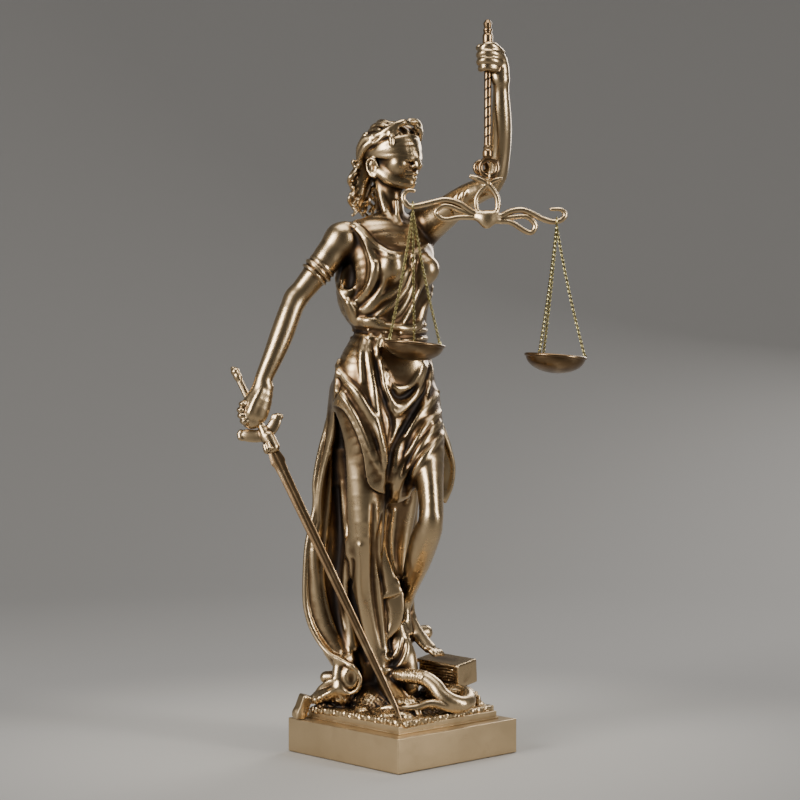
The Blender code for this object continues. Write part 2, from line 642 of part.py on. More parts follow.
def left_arm(f):
    f.ball((22, 28, 530), (17, 17, 17), blend=8)
    f.limb([(18, 28, 520, 19), (42, 6, 538, 15.5), (64, -12, 554, 13), (86, -30, 565, 11)], blend=6)
    f.limb([(87, -31, 565, 10.5), (94, -33, 576, 10.6), (98, -40, 600, 10), (99.3, -48, 622, 9.8),
            (99, -54, 642, 9), (98.7, -58, 660, 7.7), (98.5, -61, 672, 7.8)], blend=4)
    # pleats where the sleeve ends on the upper arm
    for n in range(3):
        x, z = 52 + 5.5 * n, 547 + 2.5 * n
        f.line([(x + 2, z + 9), (x, z + 4), (x - 1, z - 4), (x + 2, z - 10)], 2.0, 0.1, 2.0)


def head_frame():
    turn = turn_z(HEAD_TURN)
    return turn, seen(*HEAD_CENTRE)


def head(f):
    turn, origin = head_frame()

    def at(x, y, z):
        # x toward her left, y forward, z up
        return origin + turn @ np.array([x, -y, z])

    def rows(points):
        return [(*at(p[0], p[1], p[2]), *p[3:]) for p in points]

    f.add(Ball(at(0, -1, 7), (23.5, 29, 24.5), turn, 2))
    f.add(Ball(at(0, 9, -8), (20, 21, 25), turn, 5))
    f.real_limb(rows([(-19, -3, -15, 5), (-15, 8, -24, 5.5), (-6, 19, -29, 5)]), blend=6)
    f.real_limb(rows([(19, -3, -15, 5), (15, 8, -24, 5.5), (6, 19, -29, 5)]), blend=6)
    f.add(Ball(at(0, 23, -29), (6.5, 6, 5.5), turn, 5))
    f.add(Ball(at(-12, 18, -10), (7, 8, 7), turn, 6))
    f.add(Ball(at(12, 18, -10), (7, 8, 7), turn, 6))
    f.add(Ball(at(0, 23, -20), (8.5, 6.5, 7), turn, 4))
    # nose
    f.real_limb(rows([(0, 28, 3, 3.2), (0, 31.5, -4, 3.2), (0, 34.5, -10.5, 3.4),
                      (0, 35.4, -12.5, 3.3)]), blend=3)
    f.add(Ball(at(-3.8, 31.5, -13), (2.4, 3, 2.2), turn, 1.5))
    f.add(Ball(at(3.8, 31.5, -13), (2.4, 3, 2.2), turn, 1.5))
    # lips
    f.real_limb(rows([(-7.5, 25.5, -21, 1.0), (-3, 29, -19.8, 2.0), (0, 29.6, -20.3, 1.8),
                      (3, 29, -19.8, 2.0),
                      (7.5, 25.5, -21, 1.0)]), blend=1.5, pace=2)
    f.real_limb(rows([(-6, 26, -23.2, 1.2), (0, 28.6, -24, 2.3), (6, 26, -23.2, 1.2)]), blend=1.5, pace=2)
    f.real_limb(rows([(-8, 26, -21.6, 0.7), (-3, 30, -21.8, 0.8), (0, 30.6, -22.2, 0.8),
                      (3, 30, -21.8, 0.8),
                      (8, 26, -21.6, 0.7)]), blend=0.8, cut=True, pace=2)
    # ear
    for s in (-1, 1):
        f.add(Ball(at(s * 22, -6, -13), (3.5, 7.5, 11), turn, 2))
        f.add(Ball(at(s * 26, -5, -12), (3, 4.4, 7), turn, 1.5, True))
        f.real_limb(rows([(s * 23, 2, -11, 1.5), (s * 24.5, 0, -4, 1.8), (s * 25.5, -6, -1, 1.9),
                          (s * 26, -12, -5, 1.9), (s * 25.5, -12.5, -13, 1.8), (s * 24, -7, -22, 2.0),
                          (s * 22.5, -2, -24, 2.0), (s * 22, 0, -19, 1.6)]), blend=1.0, pace=2.5)
    # blindfold: a wide band of soft creases over the brow that narrows toward the ears
    ring = np.linspace(0, 2 * math.pi, 41)
    strands = 7
    for n in range(strands):
        share = 2 * n / (strands - 1) - 1
        loop = []
        for t in ring:
            front = max(0.0, math.cos(t)) ** 0.8
            half = BAND_AT_EAR + (BAND_AT_BROW - BAND_AT_EAR) * front
            height = 0.5 + 5.5 * front + half * share + 0.5 * math.sin(3 * t + 2 * n)
            across = math.sqrt(max(0.3, 1 - ((height - 7) / 25.5) ** 2))
            loop.append((*at(24.4 * across * math.sin(t), -1 + 30.2 * across * math.cos(t), height),
                         1.7 + 1.0 * front))
        f.real_limb(loop, blend=1.6, pace=4)
    # nose bridge under the band
    f.add(Ball(at(0, 28, 1), (5, 4.5, 8), turn, 4))
    hair(f, at, rows)


def hair(f, at, rows):
    turn, _ = head_frame()
    f.add(Ball(at(0, -3, 12), (24.5, 28, 22), turn, 3))
    # waves swept back from the parting over the crown
    lanes = 9
    for side in (-1, 1):
        for n in range(lanes):
            share = n / (lanes - 1)
            path = []
            for t in np.linspace(0, 1, 10):
                angle = math.radians(5 + 140 * t)
                lift = 1.0 + 0.05 * math.sin(9 * t + 1.3 * n)
                spread = 3 + 17 * share ** 0.8 - 8 * t * t * share
                x = side * (spread + 6 * math.sin(math.pi * t) * (1 - share))
                ring_r = 27 - 9 * share
                y = -3 + (ring_r + 1) * math.cos(angle) * lift
                z = 7 + (ring_r + 2) * math.sin(angle) * lift * (0.95 - 0.1 * share)
                x += 2.4 * math.sin(11 * t + 2.1 * n)
                path.append((x, y, z, 3.1 - 0.6 * t))
            f.real_limb(rows(path), blend=1.0, pace=3.5)
    # waves from the temples back over the ears
    for s in (-1, 1):
        for n in range(3):
            path = []
            for t in np.linspace(0, 1, 9):
                angle = math.radians(35 + 75 * t)
                wave = 1.6 * math.sin(10 * t + 2.2 * n)
                path.append((s * 24.5 * math.sin(angle), -2 + 28 * math.cos(angle),
                             21 - 3.5 * n - 7 * t + wave, 2.6))
            f.real_limb(rows(path), blend=1.0, pace=3.5)
    f.real_limb(rows([(14, 26, 26, 3.2), (20, 22, 22, 3.2), (23.5, 19, 14, 3), (25, 17, 6, 2.6),
                      (24, 18, 1, 1.8)]),
                blend=1.0, pace=3)
    # gathered waves above and behind the ears, and curls down the nape
    curls = (
        ((-24, -6, 12), (-26, -12, 8), (-25, -18, 2), (-22, -23, -4), (-18, -26, -12)),
        ((-24, -6, 16), (-25, -14, 15), (-24, -21, 9), (-20, -26, 2), (-16, -29, -6)),
        ((-18, -18, 20), (-17, -24, 14), (-14, -28, 6), (-11, -30, -4), (-9, -31, -14)),
        ((24, -6, 12), (26, -12, 8), (25, -18, 2), (22, -23, -4), (17, -26, -12)),
        ((24, -6, 16), (25, -14, 15), (24, -21, 9), (19, -26, 2), (14, -29, -6)),
    )
    for rows_in in curls:
        f.real_limb(rows([(*p, 4.2 - 0.3 * i) for i, p in enumerate(rows_in)]), blend=1.5, pace=3)
    # tail of curls down the back of the neck
    f.real_limb(rows([(-8, -22, -4, 13, 9), (-10, -29, -20, 13, 10), (-14, -32, -38, 12, 9),
                      (-18, -31, -52, 8, 6)]),
                turn @ np.array([1.0, 0, 0]), blend=4, pace=6)
    for n in range(9):
        x0 = -24 + 4.2 * n
        path = []
        for t in np.linspace(0, 1, 14):
            sway = 3.0 * math.sin(13 * t + 1.9 * n)
            out = 2.6 * math.cos(13 * t + 1.9 * n)
            bulge = 8 * math.sin(math.pi * min(1, t * 1.2)) * math.cos((n - 4) * 0.3)
            drop = (50 + 5 * math.sin(n * 2.3)) * t
            path.append((x0 + sway - 6 * t, -26 - bulge - out, -6 - drop, 3.4 * (1 - 0.45 * t)))
        f.real_limb(rows(path), blend=1.0, pace=3)


def ground(f):
    half = 65.5
    turn = turn_z(math.radians(46.9))
    f.add(Block((0, 0, GROUND + 1.5), (half, half, 3.2), turn, 1.5, 1.0))
    rng = np.random.default_rng(5)
    for n in range(70):
        u, v = rng.uniform(-54, 54, 2)
        p = turn @ np.array([u, v, 0])
        size = rng.uniform(4, 9)
        sizes = (size * 1.3, size, rng.uniform(2.5, 5.5))
        f.add(Ball((p[0], p[1], GROUND + 5.5), sizes, turn_z(rng.uniform(0, 3)), 1.5))
    f.limb([(-30, 10, 48, 40, 22), (-10, 10, 50, 40, 20)], (0, 1, 0), 6)
    # mounds of rock under the book and along the front
    f.add(Ball((46, 30, GROUND + 9), (33, 25, 15), turn_z(-0.7), 4))
    f.add(Ball((44, 28, GROUND + 16), (24, 15, 11), turn_z(-0.7), 4))
    f.ball((0, -40, 33), (46, 16, 9), blend=4)
    # pointed rock at the left corner
    f.limb([(-99, -6, 36, 8, 8), (-99, -5, 47, 6.5, 6), (-96.5, -4, 54, 4, 4), (-94.5, -4, 59, 1.5, 2)],
           (1, 0, 0), 2, pace=4)
    # leaves at the right corner
    for x, y, z, lean in ((70, -4, 46, 0.5), (76, 0, 50, 0.1), (81, 2, 45, -0.5), (73, 4, 54, 0.2)):
        f.add(Ball(seen(x, y, z), (2.6, 2.6, 7), turn_y(lean), 1.5))


def book(f):
    turn = turn_z(math.radians(-39.7)) @ turn_y(math.radians(3))
    centre = np.array([44.6, 26.0, 76.0])
    long, deep, thick = BOOK_SIZES
    cover, over = 1.9, 2.0
    f.add(Block(centre, (long - over, deep - over, thick - cover), turn, 0.6, 0.6))
    for way in (-1, 1):
        f.add(Block(centre + turn @ np.array([0, 0, way * (thick - cover)]), (long, deep, cover), turn, 0.8, 0.4))
    # the spine at the right, a little proud of the covers
    f.add(Block(centre + turn @ np.array([long - 1.5, 0, 0]), (2.4, deep, thick), turn, 1.2, 0.6))


def snake(f):
    # from the hem forward, along the front in a thick coil, and back under it to the tail
    f.limb([(-8, -14, 80, 5.6), (-1, -24, 74, 5.2), (11, -30, 71, 5), (22, -33, 67.5, 5.4),
            (29, -37, 60, 6.4),
            (41, -41, 54.5, 7), (53, -42, 50, 7), (63, -36, 47.5, 7), (68, -26, 53, 6.8),
            (62, -14, 58, 6.4),
            (50, -8, 60, 6)], blend=1.2, pace=4)
    f.limb([(56, -44, 42, 4.6), (43, -49, 45, 4.6), (28, -51, 48, 4.3), (16, -52, 44, 4.1),
            (4, -52, 42.5, 4),
            (-8, -50, 43.5, 3.6), (-20, -47, 42.5, 3), (-33, -42, 36, 1.8)], blend=1.0, pace=4)
    f.limb([(-2, -2, 92, 7), (6, 2, 100, 8), (2, 8, 112, 8), (10, 14, 118, 8), (16, 20, 118, 7.8),
            (22, 26, 119, 7.6)],
           blend=3)


def back(f):
    """Plainer folds round the sides and the back, where the viewer does not look."""
    centre = (-24, 12)
    for azimuth, top, foot, lean, radius in (
        (105, 380, 60, 10, 4.0), (122, 395, 55, 4, 5.0), (138, 385, 50, -4, 4.2), (152, 400, 52, -8, 5.2),
        (166, 390, 50, -10, 4.4), (180, 398, 50, -10, 5.2), (194, 388, 50, -10, 4.4),
        (208, 400, 52, -8, 5.0),
        (222, 385, 58, -6, 4.2), (236, 370, 70, -4, 4.6), (252, 345, 100, -2, 3.6),
    ):
        rows = []
        for t in np.linspace(0, 1, 7):
            swing = lean * math.sin(math.pi * 0.5 * t) + 3.0 * math.sin(5 * t + azimuth)
            rows.append((azimuth + swing, top + (foot - top) * t))
        f.around(rows, radius, 0.3, 4, centre=centre, taper=0.3)
    for azimuth in (115, 130, 145, 159, 173, 187, 201, 215, 229, 244):
        rows = []
        for t in np.linspace(0, 1, 7):
            rows.append((azimuth + 2.5 * math.sin(5 * t + azimuth + 1), 375 - 290 * t))
        f.around(rows, 3.0, -0.1, 3, True, centre=centre, taper=0.2)
    # the cloth over her back falls from the shoulder to the belt
    for start, end in ((200, 150), (215, 165), (228, 182), (240, 200), (250, 222)):
        rows = []
        for t in np.linspace(0, 1, 6):
            rows.append((start + (end - start) * t, 512 - 85 * t - 8 * math.sin(math.pi * t)))
        f.around(rows, 2.6, 0.2, 2.5, centre=(-10, 4), taper=0.3)
    # belt round the waist
    for z in (421, 413):
        f.around([(a, z) for a in range(70, 300, 20)], 1.7, 0.1, 1.0, centre=(-11, 0), taper=1.0)


def build(f):
    torso(f)
    legs(f)
    skirt(f)
    clothes(f)
    back(f)
    right_arm(f)
    hand_right(f)
    left_arm(f)
    hand_left(f)
    head(f)
    ground(f)
    book(f)
    snake(f)


def place(x, y, z):
    """Metres, in the viewer's frame, of a point in shares that lines up with (x, z)."""
    point = seen(x, y, z) * SHARE
    return Vector((point[0], point[1], point[2] + PLINTH_TOP - GROUND * SHARE))


def material(name, colour, metallic, roughness):
    made = bpy.data.materials.new(name)
    made.use_nodes = True
    shader = made.node_tree.nodes["Principled BSDF"]
    shader.inputs["Base Color"].default_value = (*colour, 1)
    shader.inputs["Metallic"].default_value = metallic
    shader.inputs["Roughness"].default_value = roughness
    return made


def collection(name):
    made = bpy.data.collections.new(name)
    bpy.context.scene.collection.children.link(made)
    return made


PARTS = collection("lady_justice_statue")
CUTTERS = collection("cutters")
CUTTERS.hide_render = True
VIEW = bpy.data.objects.new("view_frame", None)
VIEW.rotation_euler = (0, 0, VIEW_TURN)
PARTS.objects.link(VIEW)


def add_part(name, mesh, look, parent=VIEW, smooth=True):
    made = bpy.data.objects.new(name, mesh)
    PARTS.objects.link(made)
    made.parent = parent
    if look:
        mesh.materials.append(look)
    if smooth:
        mesh.shade_smooth()
        mesh.set_sharp_from_angle(angle=math.radians(40))
    return made


def add_cutter(name, mesh, parent=VIEW):
    made = bpy.data.objects.new(name, mesh)
    CUTTERS.objects.link(made)
    made.parent = parent
    made.hide_render = True
    made.display_type = "WIRE"
    return made


def boolean(target, other, operation):
    step = target.modifiers.new(other.name, "BOOLEAN")
    step.operation = operation
    step.solver = "EXACT"
    step.object = other
    return step


def loft(name, rings):
    """A closed mesh through rings of points, all with the same number of points."""
    count = len(rings[0])
    points = [tuple(point) for ring in rings for point in ring]
    faces = [tuple(reversed(range(count)))]
    for i in range(len(rings) - 1):
        for j in range(count):
            k = (j + 1) % count
            faces.append((i * count + j, i * count + k, (i + 1) * count + k, (i + 1) * count + j))
    faces.append(tuple(range((len(rings) - 1) * count, len(rings) * count)))
    mesh = bpy.data.meshes.new(name)
    mesh.from_pydata(points, [], faces)
    return outward(mesh)


def outward(mesh):
    """Turns every face of a closed mesh to point out."""
    work = bmesh.new()
    work.from_mesh(mesh)
    bmesh.ops.recalc_face_normals(work, faces=work.faces)
    work.to_mesh(mesh)
    work.free()
    return mesh


def tube_between(name, start, end, radius, sides=6):
    """A straight rod from start to end."""
    start, end = Vector(start), Vector(end)
    turn = (end - start).to_track_quat("Z", "Y").to_matrix()
    angles = [2 * math.pi * i / sides for i in range(sides)]
    ring = [turn @ Vector((math.cos(a), math.sin(a), 0)) * radius for a in angles]
    return loft(name, [[start + p for p in ring], [end + p for p in ring]])


def torus(name, centre, axis, major, minor, around=16, section=6):
    turn = Vector(axis).to_track_quat("Z", "Y").to_matrix()
    points, faces = [], []
    for i in range(around):
        a = 2 * math.pi * i / around
        for j in range(section):
            b = 2 * math.pi * j / section
            r = major + minor * math.cos(b)
            local = Vector((r * math.cos(a), r * math.sin(a), minor * math.sin(b)))
            points.append(Vector(centre) + turn @ local)
            k = (i + 1) % around
            m = (j + 1) % section
            faces.append((i * section + j, k * section + j, k * section + m, i * section + m))
    mesh = bpy.data.meshes.new(name)
    mesh.from_pydata([tuple(p) for p in points], [], faces)
    return outward(mesh)


def skin(name, clay, triangles):
    """The clay's surface in metres, thinned to about so many triangles."""
    points, _, quads = clay.mesh()
    points = points * SHARE
    points[:, 2] += PLINTH_TOP - GROUND * SHARE
    mesh = bpy.data.meshes.new(name)
    mesh.from_pydata(points.tolist(), [], quads.tolist())
    made = bpy.data.objects.new(name, mesh)
    PARTS.objects.link(made)
    thin = made.modifiers.new("thin", "DECIMATE")
    thin.ratio = min(1.0, triangles / (2.0 * len(quads)))
    thin.use_collapse_triangulate = True
    graph = bpy.context.evaluated_depsgraph_get()
    thinned = bpy.data.meshes.new_from_object(made.evaluated_get(graph))
    bpy.data.objects.remove(made)
    keep_largest(thinned)
    return thinned


def keep_largest(mesh):
    """Removes the loose crumbs that a thin stroke can leave beside the main body."""
    work = bmesh.new()
    work.from_mesh(mesh)
    seen_points = set()
    groups = []
    for start in work.verts:
        if start in seen_points:
            continue
        group, queue = [], [start]
        seen_points.add(start)
        while queue:
            point = queue.pop()
            group.append(point)
            for edge in point.link_edges:
                other = edge.other_vert(point)
                if other not in seen_points:
                    seen_points.add(other)
                    queue.append(other)
        groups.append(group)
    groups.sort(key=len)
    for group in groups[:-1]:
        bmesh.ops.delete(work, geom=group, context="VERTS")
    work.to_mesh(mesh)
    work.free()


# Plinth
def make_plinth():
    low, top = PLINTH_WIDTH / 2, TIER_WIDTH / 2
    lip = top + EDGE * 1.3
    profile = [
        (0, PLINTH_TOP), (top - EDGE, PLINTH_TOP), (top, PLINTH_TOP - EDGE),
        (top, PLINTH_HEIGHT + 2.4 * EDGE),
        (lip, PLINTH_HEIGHT + 2 * EDGE), (lip, PLINTH_HEIGHT), (low - EDGE, PLINTH_HEIGHT),
        (low, PLINTH_HEIGHT - EDGE), (low, EDGE), (low - EDGE, 0), (0, 0),
    ]
    mesh = bpy.data.meshes.new("plinth")
    points = [(half * math.sqrt(2), 0, z) for half, z in profile]
    mesh.from_pydata(points, [(i, i + 1) for i in range(len(points) - 1)], [])
    made = add_part("plinth", mesh, material("satin_bronze", (0.42, 0.32, 0.20), 1.0, 0.42), None, False)
    made.rotation_euler = (0, 0, math.radians(45))
    turn = made.modifiers.new("square", "SCREW")
    turn.steps = turn.render_steps = 4
    turn.use_merge_vertices = True
    turn.merge_threshold = 0.00001
    return made


# Sword
SWORD_TOP = (-167, -34, 380)
SWORD_TIP = (-1, -90, 31.5)
# Each wing of the guard: how far below its middle, how far across and how thick, in shares
GUARD_WINGS = (
    ((0, 0, 5.5), (-3, -9, 5.6), (-8, -17, 5.4), (-11, -22.5, 3.4)),
    ((0, 0, 5.5), (-3, 8, 5.4), (-7, 14, 5.0), (-10, 18.5, 3.4)),
)


def sword_line():
    top, tip = place(*SWORD_TOP), place(*SWORD_TIP)
    return top, tip


def make_sword(look):
    top, tip = sword_line()
    along = (tip - top).normalized()
    length = (tip - top).length
    side = along.cross(Vector((0, 1, 0))).normalized()
    front = along.cross(side)
    guard_at = 0.187 * length
    blade_from = guard_at + 8 * SHARE
    clay = Clay((-195, -75, 285), (-105, -5, 400), 0.9)

    def row(distance, radius, across=0.0, out=0.0, squash=1.0):
        point = top + along * distance + side * across * SHARE + front * out * SHARE
        point = point - Vector((0, 0, PLINTH_TOP - GROUND * SHARE))
        return (*(point / SHARE), radius, radius * squash)

    grip = GRIP_RADIUS / SHARE
    clay.work(Ball(row(0, 1)[:3], 4.6, None, 1.5))
    handle = [row(4 * SHARE, 2.6), row(8 * SHARE, 3.0), row(12 * SHARE, grip)]
    handle.append(row(guard_at - 8 * SHARE, grip))
    clay.work(Limb(handle, tuple(side), 1.0))
    collar = [row(guard_at - 7 * SHARE, 4.0), row(guard_at, 6.0), row(blade_from, 5.5)]
    clay.work(Limb(collar, tuple(side), 2))
    for wing in GUARD_WINGS:
        rows = [row(guard_at + down * SHARE, radius, across, 0, 0.62) for down, across, radius in wing]
        clay.work(Limb(rows, tuple(along), 2, pace=3))
    for n in range(5):
        angle = 2 * math.pi * n / 5
        leaf = row(guard_at + 3 * SHARE, 1, 4.5 * math.cos(angle), 4.5 * math.sin(angle))
        clay.work(Ball(leaf[:3], (3, 3, 7), None, 1))
    for shares in (9, 13):
        band = [row(guard_at + (shares + more) * SHARE, 6.4) for more in (0, 1.5)]
        clay.work(Limb(band, tuple(side), 0.8))
    hilt = skin("sword_hilt", clay, 700)
    made = add_part("sword", hilt, look)
    half = BLADE_WIDTH / 2
    thick = BLADE_THICKNESS / 2
    rings = []
    start = blade_from
    notch = blade_from + 20 * SHARE
    for distance, wide in ((start, 1.05), (notch, 1.5), (notch + 4 * SHARE, 1.45), (notch + 6 * SHARE, 1.0),
                           (length * 0.62, 0.9), (length * 0.85, 0.72), (length * 0.96, 0.5),
                           (length, 0.12)):
        centre = top + along * distance
        slim = min(1.0, wide + 0.1)
        rings.append([centre + side * half * wide, centre + front * thick * slim,
                      centre - side * half * wide, centre - front * thick * slim])
    blade = add_cutter("blade", loft("blade", rings))
    boolean(made, blade, "UNION")
    return made


# Balance rod, beam, chains and pans
BALANCE_Y = -64
ROD_X = 85.5
ROD_SHAFT = 3.5
ROD_COLLAR = 5.0
# Height and radius down the rod from its finial, in shares
ROD_LEVELS = (
    (732, 0.8), (731, 2.6), (728, 4.3), (724.5, 3.6), (723, 3.2), (722, 4.4), (720.5, 4.4), (719, 3.8),
    (717, 4.4), (716, ROD_COLLAR), (709, ROD_COLLAR), (707, 4.2), (684, 4.2), (682, ROD_SHAFT),
    (606, ROD_SHAFT), (604, 4.4), (602, 3.8), (600, ROD_COLLAR), (595, ROD_COLLAR), (592.5, 3.4),
)
RING_X = 86.7
RING_Z = 583.7
RING_MAJOR = 8.2
RING_MINOR = 2.5
BACK_RING = (78.8, 6.6, 5.8, 2.2)


def make_rod(look):
    """The rod with its finial and collars, and two rings at its foot: the beam hangs from the front one."""
    sides = 12
    rings = []
    for z, radius in reversed(ROD_LEVELS):
        centre = place(ROD_X, BALANCE_Y, z)
        size = radius * ROD_RADIUS / ROD_SHAFT
        ring = []
        for i in range(sides):
            angle = 2 * math.pi * i / sides
            ring.append(centre + Vector((math.cos(angle), math.sin(angle), 0)) * size)
        rings.append(ring)
    made = add_part("balance_rod", loft("balance_rod", rings), look)
    ring = add_cutter("rod_ring", torus("rod_ring", place(RING_X, BALANCE_Y, RING_Z), (0, 1, 0),
                                        RING_MAJOR * SHARE, RING_MINOR * SHARE, 18))
    boolean(made, ring, "UNION")
    x, behind, major, minor = BACK_RING
    back = add_cutter("back_ring", torus("back_ring", place(x, BALANCE_Y + behind, RING_Z), (0, 1, 0),
                                         major * SHARE, minor * SHARE, 14))
    boolean(made, back, "UNION")
    link = tube_between("ring_link", place(ROD_X, BALANCE_Y + 1, 597),
                        place(x + 1, BALANCE_Y + behind, RING_Z + major), 0.8 * minor * SHARE, 8)
    boolean(made, add_cutter("ring_link", link), "UNION")
    return made


BEAM_CURVES = (
    ([(68.4, 575), (77, 572), (85.2, 567.5), (92, 559.5), (95.5, 551), (94.5, 541), (87, 534)], 1.1),
    ([(99, 573), (93, 571.3), (85.2, 567), (78, 560), (73.8, 552), (75, 542), (83, 534)], 0.9),
    ([(85, 534), (71, 539), (57, 548), (44, 551.5), (34, 550), (20, 546.5), (8, 545), (2, 550), (1, 556),
      (6, 561),
      (12, 560.5)], 1.1),
    ([(84, 533), (68, 534), (56.5, 534), (45, 532), (38, 533.4), (33.4, 539), (39.7, 545), (48, 545),
      (58, 541),
      (68, 537), (84, 533)], 1.0),
    ([(86, 533), (98, 535), (108.5, 540), (119.5, 541.5), (129.5, 538), (139, 533), (150.6, 529.6),
      (160, 532),
      (163, 537.5), (158, 542), (149, 542)], 1.1),
    ([(86, 531), (98, 530), (108.5, 529), (122.5, 520.5), (129.5, 519), (133, 526), (125, 534.5),
      (113, 534.5),
      (101, 533), (86, 531)], 1.0),
)


def make_beam(look):
    clay = Clay((-10, BALANCE_Y - 15, 500), (170, BALANCE_Y + 15, 585), 0.8)
    size = BEAM_RADIUS / SHARE
    for points, share in BEAM_CURVES:
        rows = [(x, BALANCE_Y, z, size * share) for x, z in points]
        rows[-1] = (*rows[-1][:3], size * 0.7)
        clay.work(Limb(seen_rows(rows), blend=0.5, pace=3))
    eye = seen(RING_X, BALANCE_Y, RING_Z - 9.7)
    loop = []
    for t in np.linspace(0, 2 * math.pi, 17):
        loop.append((eye[0], eye[1] + 6.3 * math.sin(t), eye[2] + 6.3 * math.cos(t), 1.0))
    clay.work(Limb(loop, blend=0.5, pace=2))
    clay.work(Ball(seen(85.5, BALANCE_Y - 1, 534), (12, 4.6, 7), None, 3))
    clay.work(Ball(seen(84.5, BALANCE_Y - 1, 531), (7, 4.6, 8), None, 3))
    return add_part("balance_beam", skin("balance_beam", clay, 1000), look)


PANS = (
    ("left", (10.6, 545.6), (12.0, 407.0), (150, 30, 270), 5.5),
    ("right", (154.5, 529.8), (153.4, 394.5), (9, 129, 249), 4.5),
)


# How far the rolled rim stands over the pan's edge, in walls
RIM_LIFT = 1.4


def make_pan(side, centre_at, tilt, look):
    centre = place(centre_at[0], BALANCE_Y, centre_at[1])
    outer = PAN_RADIUS
    arc = [math.radians(a) for a in (0, 20, 40, 60, 75)]
    depth = PAN_DEPTH
    wall = PAN_WALL
    inner = [((outer - wall) * math.cos(a), -(depth - wall) * math.sin(a)) for a in reversed(arc)]
    rim = [(outer - wall, wall * 0.7), (outer - wall * 0.3, wall * RIM_LIFT), (outer + wall * 0.6, wall),
           (outer + wall, 0), (outer + wall * 0.6, -wall * 0.9)]
    under = [(outer * math.cos(a), -depth * math.sin(a)) for a in arc[1:]]
    line = [(0, -depth + wall), *inner, *rim, *under, (0, -depth)]
    mesh = bpy.data.meshes.new(side + "_pan")
    mesh.from_pydata([(x, 0, z) for x, z in line], [(i, i + 1) for i in range(len(line) - 1)], [])
    made = add_part(side + "_pan", mesh, look)
    made.location = centre
    made.rotation_euler = (0, math.radians(tilt), 0)
    turn = made.modifiers.new("turned", "SCREW")
    turn.steps = turn.render_steps = 20
    turn.use_merge_vertices = True
    turn.merge_threshold = 0.00001
    return made


def make_chains(side, bar_at, pan_at, angles, tilt, look):
    bar = place(bar_at[0], BALANCE_Y, bar_at[1])
    low = bar - Vector((0, 0, RING_RADIUS))
    middle = low + Vector((0, 0, RING_RADIUS * 0.95))
    ring = torus(side + "_chains", middle, (1, 0, 0), RING_RADIUS, RING_WIRE)
    made = add_part(side + "_chains", ring, look)
    knot = low + Vector((0, 0, -RING_WIRE * 1.2))
    centre = place(pan_at[0], BALANCE_Y, pan_at[1])
    turn = Matrix.Rotation(math.radians(tilt), 3, "Y")
    for n, degrees in enumerate(angles):
        angle = math.radians(degrees)
        rim = Vector((math.cos(angle), -math.sin(angle), 0)) * (PAN_RADIUS - PAN_WALL * 0.5)
        foot = centre + turn @ (rim + Vector((0, 0, PAN_WALL * RIM_LIFT + CLEARANCE)))
        way = (foot - knot).normalized()
        name = f"{side}_strand_{n}"
        end = foot - way * CHAIN_RADIUS * 0.3
        strand = tube_between(name, knot - way * RING_WIRE * 0.5, end, CHAIN_RADIUS)
        boolean(made, add_cutter(name, strand), "UNION")
    return made


def make_figure(look):
    clay = Figure((-180, -110, 36), (120, 92, 716), CLAY_VOXEL)
    build(clay)
    made = add_part("figure", skin("figure", clay.guide, FIGURE_TRIANGLES), look)
    big = PLINTH_WIDTH
    corner = [(-big, -big), (big, -big), (big, big), (-big, big)]
    under = PLINTH_TOP + CLEARANCE
    below = loft("under_ground", [[(x, y, z) for x, y in corner] for z in (under - 0.05, under)])
    boolean(made, add_cutter("under_ground", below), "DIFFERENCE")
    top, tip = sword_line()
    along = (tip - top).normalized()
    grip = tube_between("grip_hole", top + along * 0.004, top + along * 0.060, GRIP_RADIUS + CLEARANCE, 14)
    boolean(made, add_cutter("grip_hole", grip), "DIFFERENCE")
    rod = tube_between("rod_hole", place(ROD_X, BALANCE_Y, 670), place(ROD_X, BALANCE_Y, 725),
                       ROD_RADIUS * ROD_COLLAR / ROD_SHAFT + CLEARANCE, 16)
    boolean(made, add_cutter("rod_hole", rod), "DIFFERENCE")
    return made


def main():
    bronze = material("antique_bronze", (0.36, 0.26, 0.15), 1.0, 0.34)
    brass = material("olive_brass", (0.33, 0.29, 0.12), 1.0, 0.4)
    make_plinth()
    make_figure(bronze)
    make_sword(bronze)
    make_rod(bronze)
    make_beam(bronze)
    for side, bar, pan, angles, tilt in PANS:
        make_pan(side, pan, tilt, bronze)
        make_chains(side, bar, pan, angles, tilt, brass)


main()
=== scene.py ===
"""Looks of the Lady Justice statuette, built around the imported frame.

Metres, +Z up. The figure is shaped as clay: strokes are blended in blocks of distances, then skinned.
Its points are in shares of its own height, as they line up for a viewer at EYE; y runs away.
"""

import math
from concurrent.futures import ThreadPoolExecutor

import bmesh
import bpy
import numpy as np
import openvdb
from mathutils import Matrix, Vector


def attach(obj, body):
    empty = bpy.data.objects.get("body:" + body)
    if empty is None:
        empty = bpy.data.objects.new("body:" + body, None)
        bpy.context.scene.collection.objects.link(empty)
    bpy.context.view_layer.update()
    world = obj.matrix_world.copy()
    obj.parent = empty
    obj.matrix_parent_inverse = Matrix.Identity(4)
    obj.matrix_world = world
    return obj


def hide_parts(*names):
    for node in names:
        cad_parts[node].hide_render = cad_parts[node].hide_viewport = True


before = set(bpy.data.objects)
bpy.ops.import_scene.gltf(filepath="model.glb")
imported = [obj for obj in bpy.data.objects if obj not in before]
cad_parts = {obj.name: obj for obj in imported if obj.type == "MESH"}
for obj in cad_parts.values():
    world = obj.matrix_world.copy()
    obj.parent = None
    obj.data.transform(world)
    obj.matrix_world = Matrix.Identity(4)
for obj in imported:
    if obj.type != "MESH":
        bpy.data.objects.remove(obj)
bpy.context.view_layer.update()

# Driving sizes, metres
FIGURE_HEIGHT = 0.5062
PLINTH_WIDTH = 0.138
PLINTH_HEIGHT = 0.0286
TIER_WIDTH = 0.114
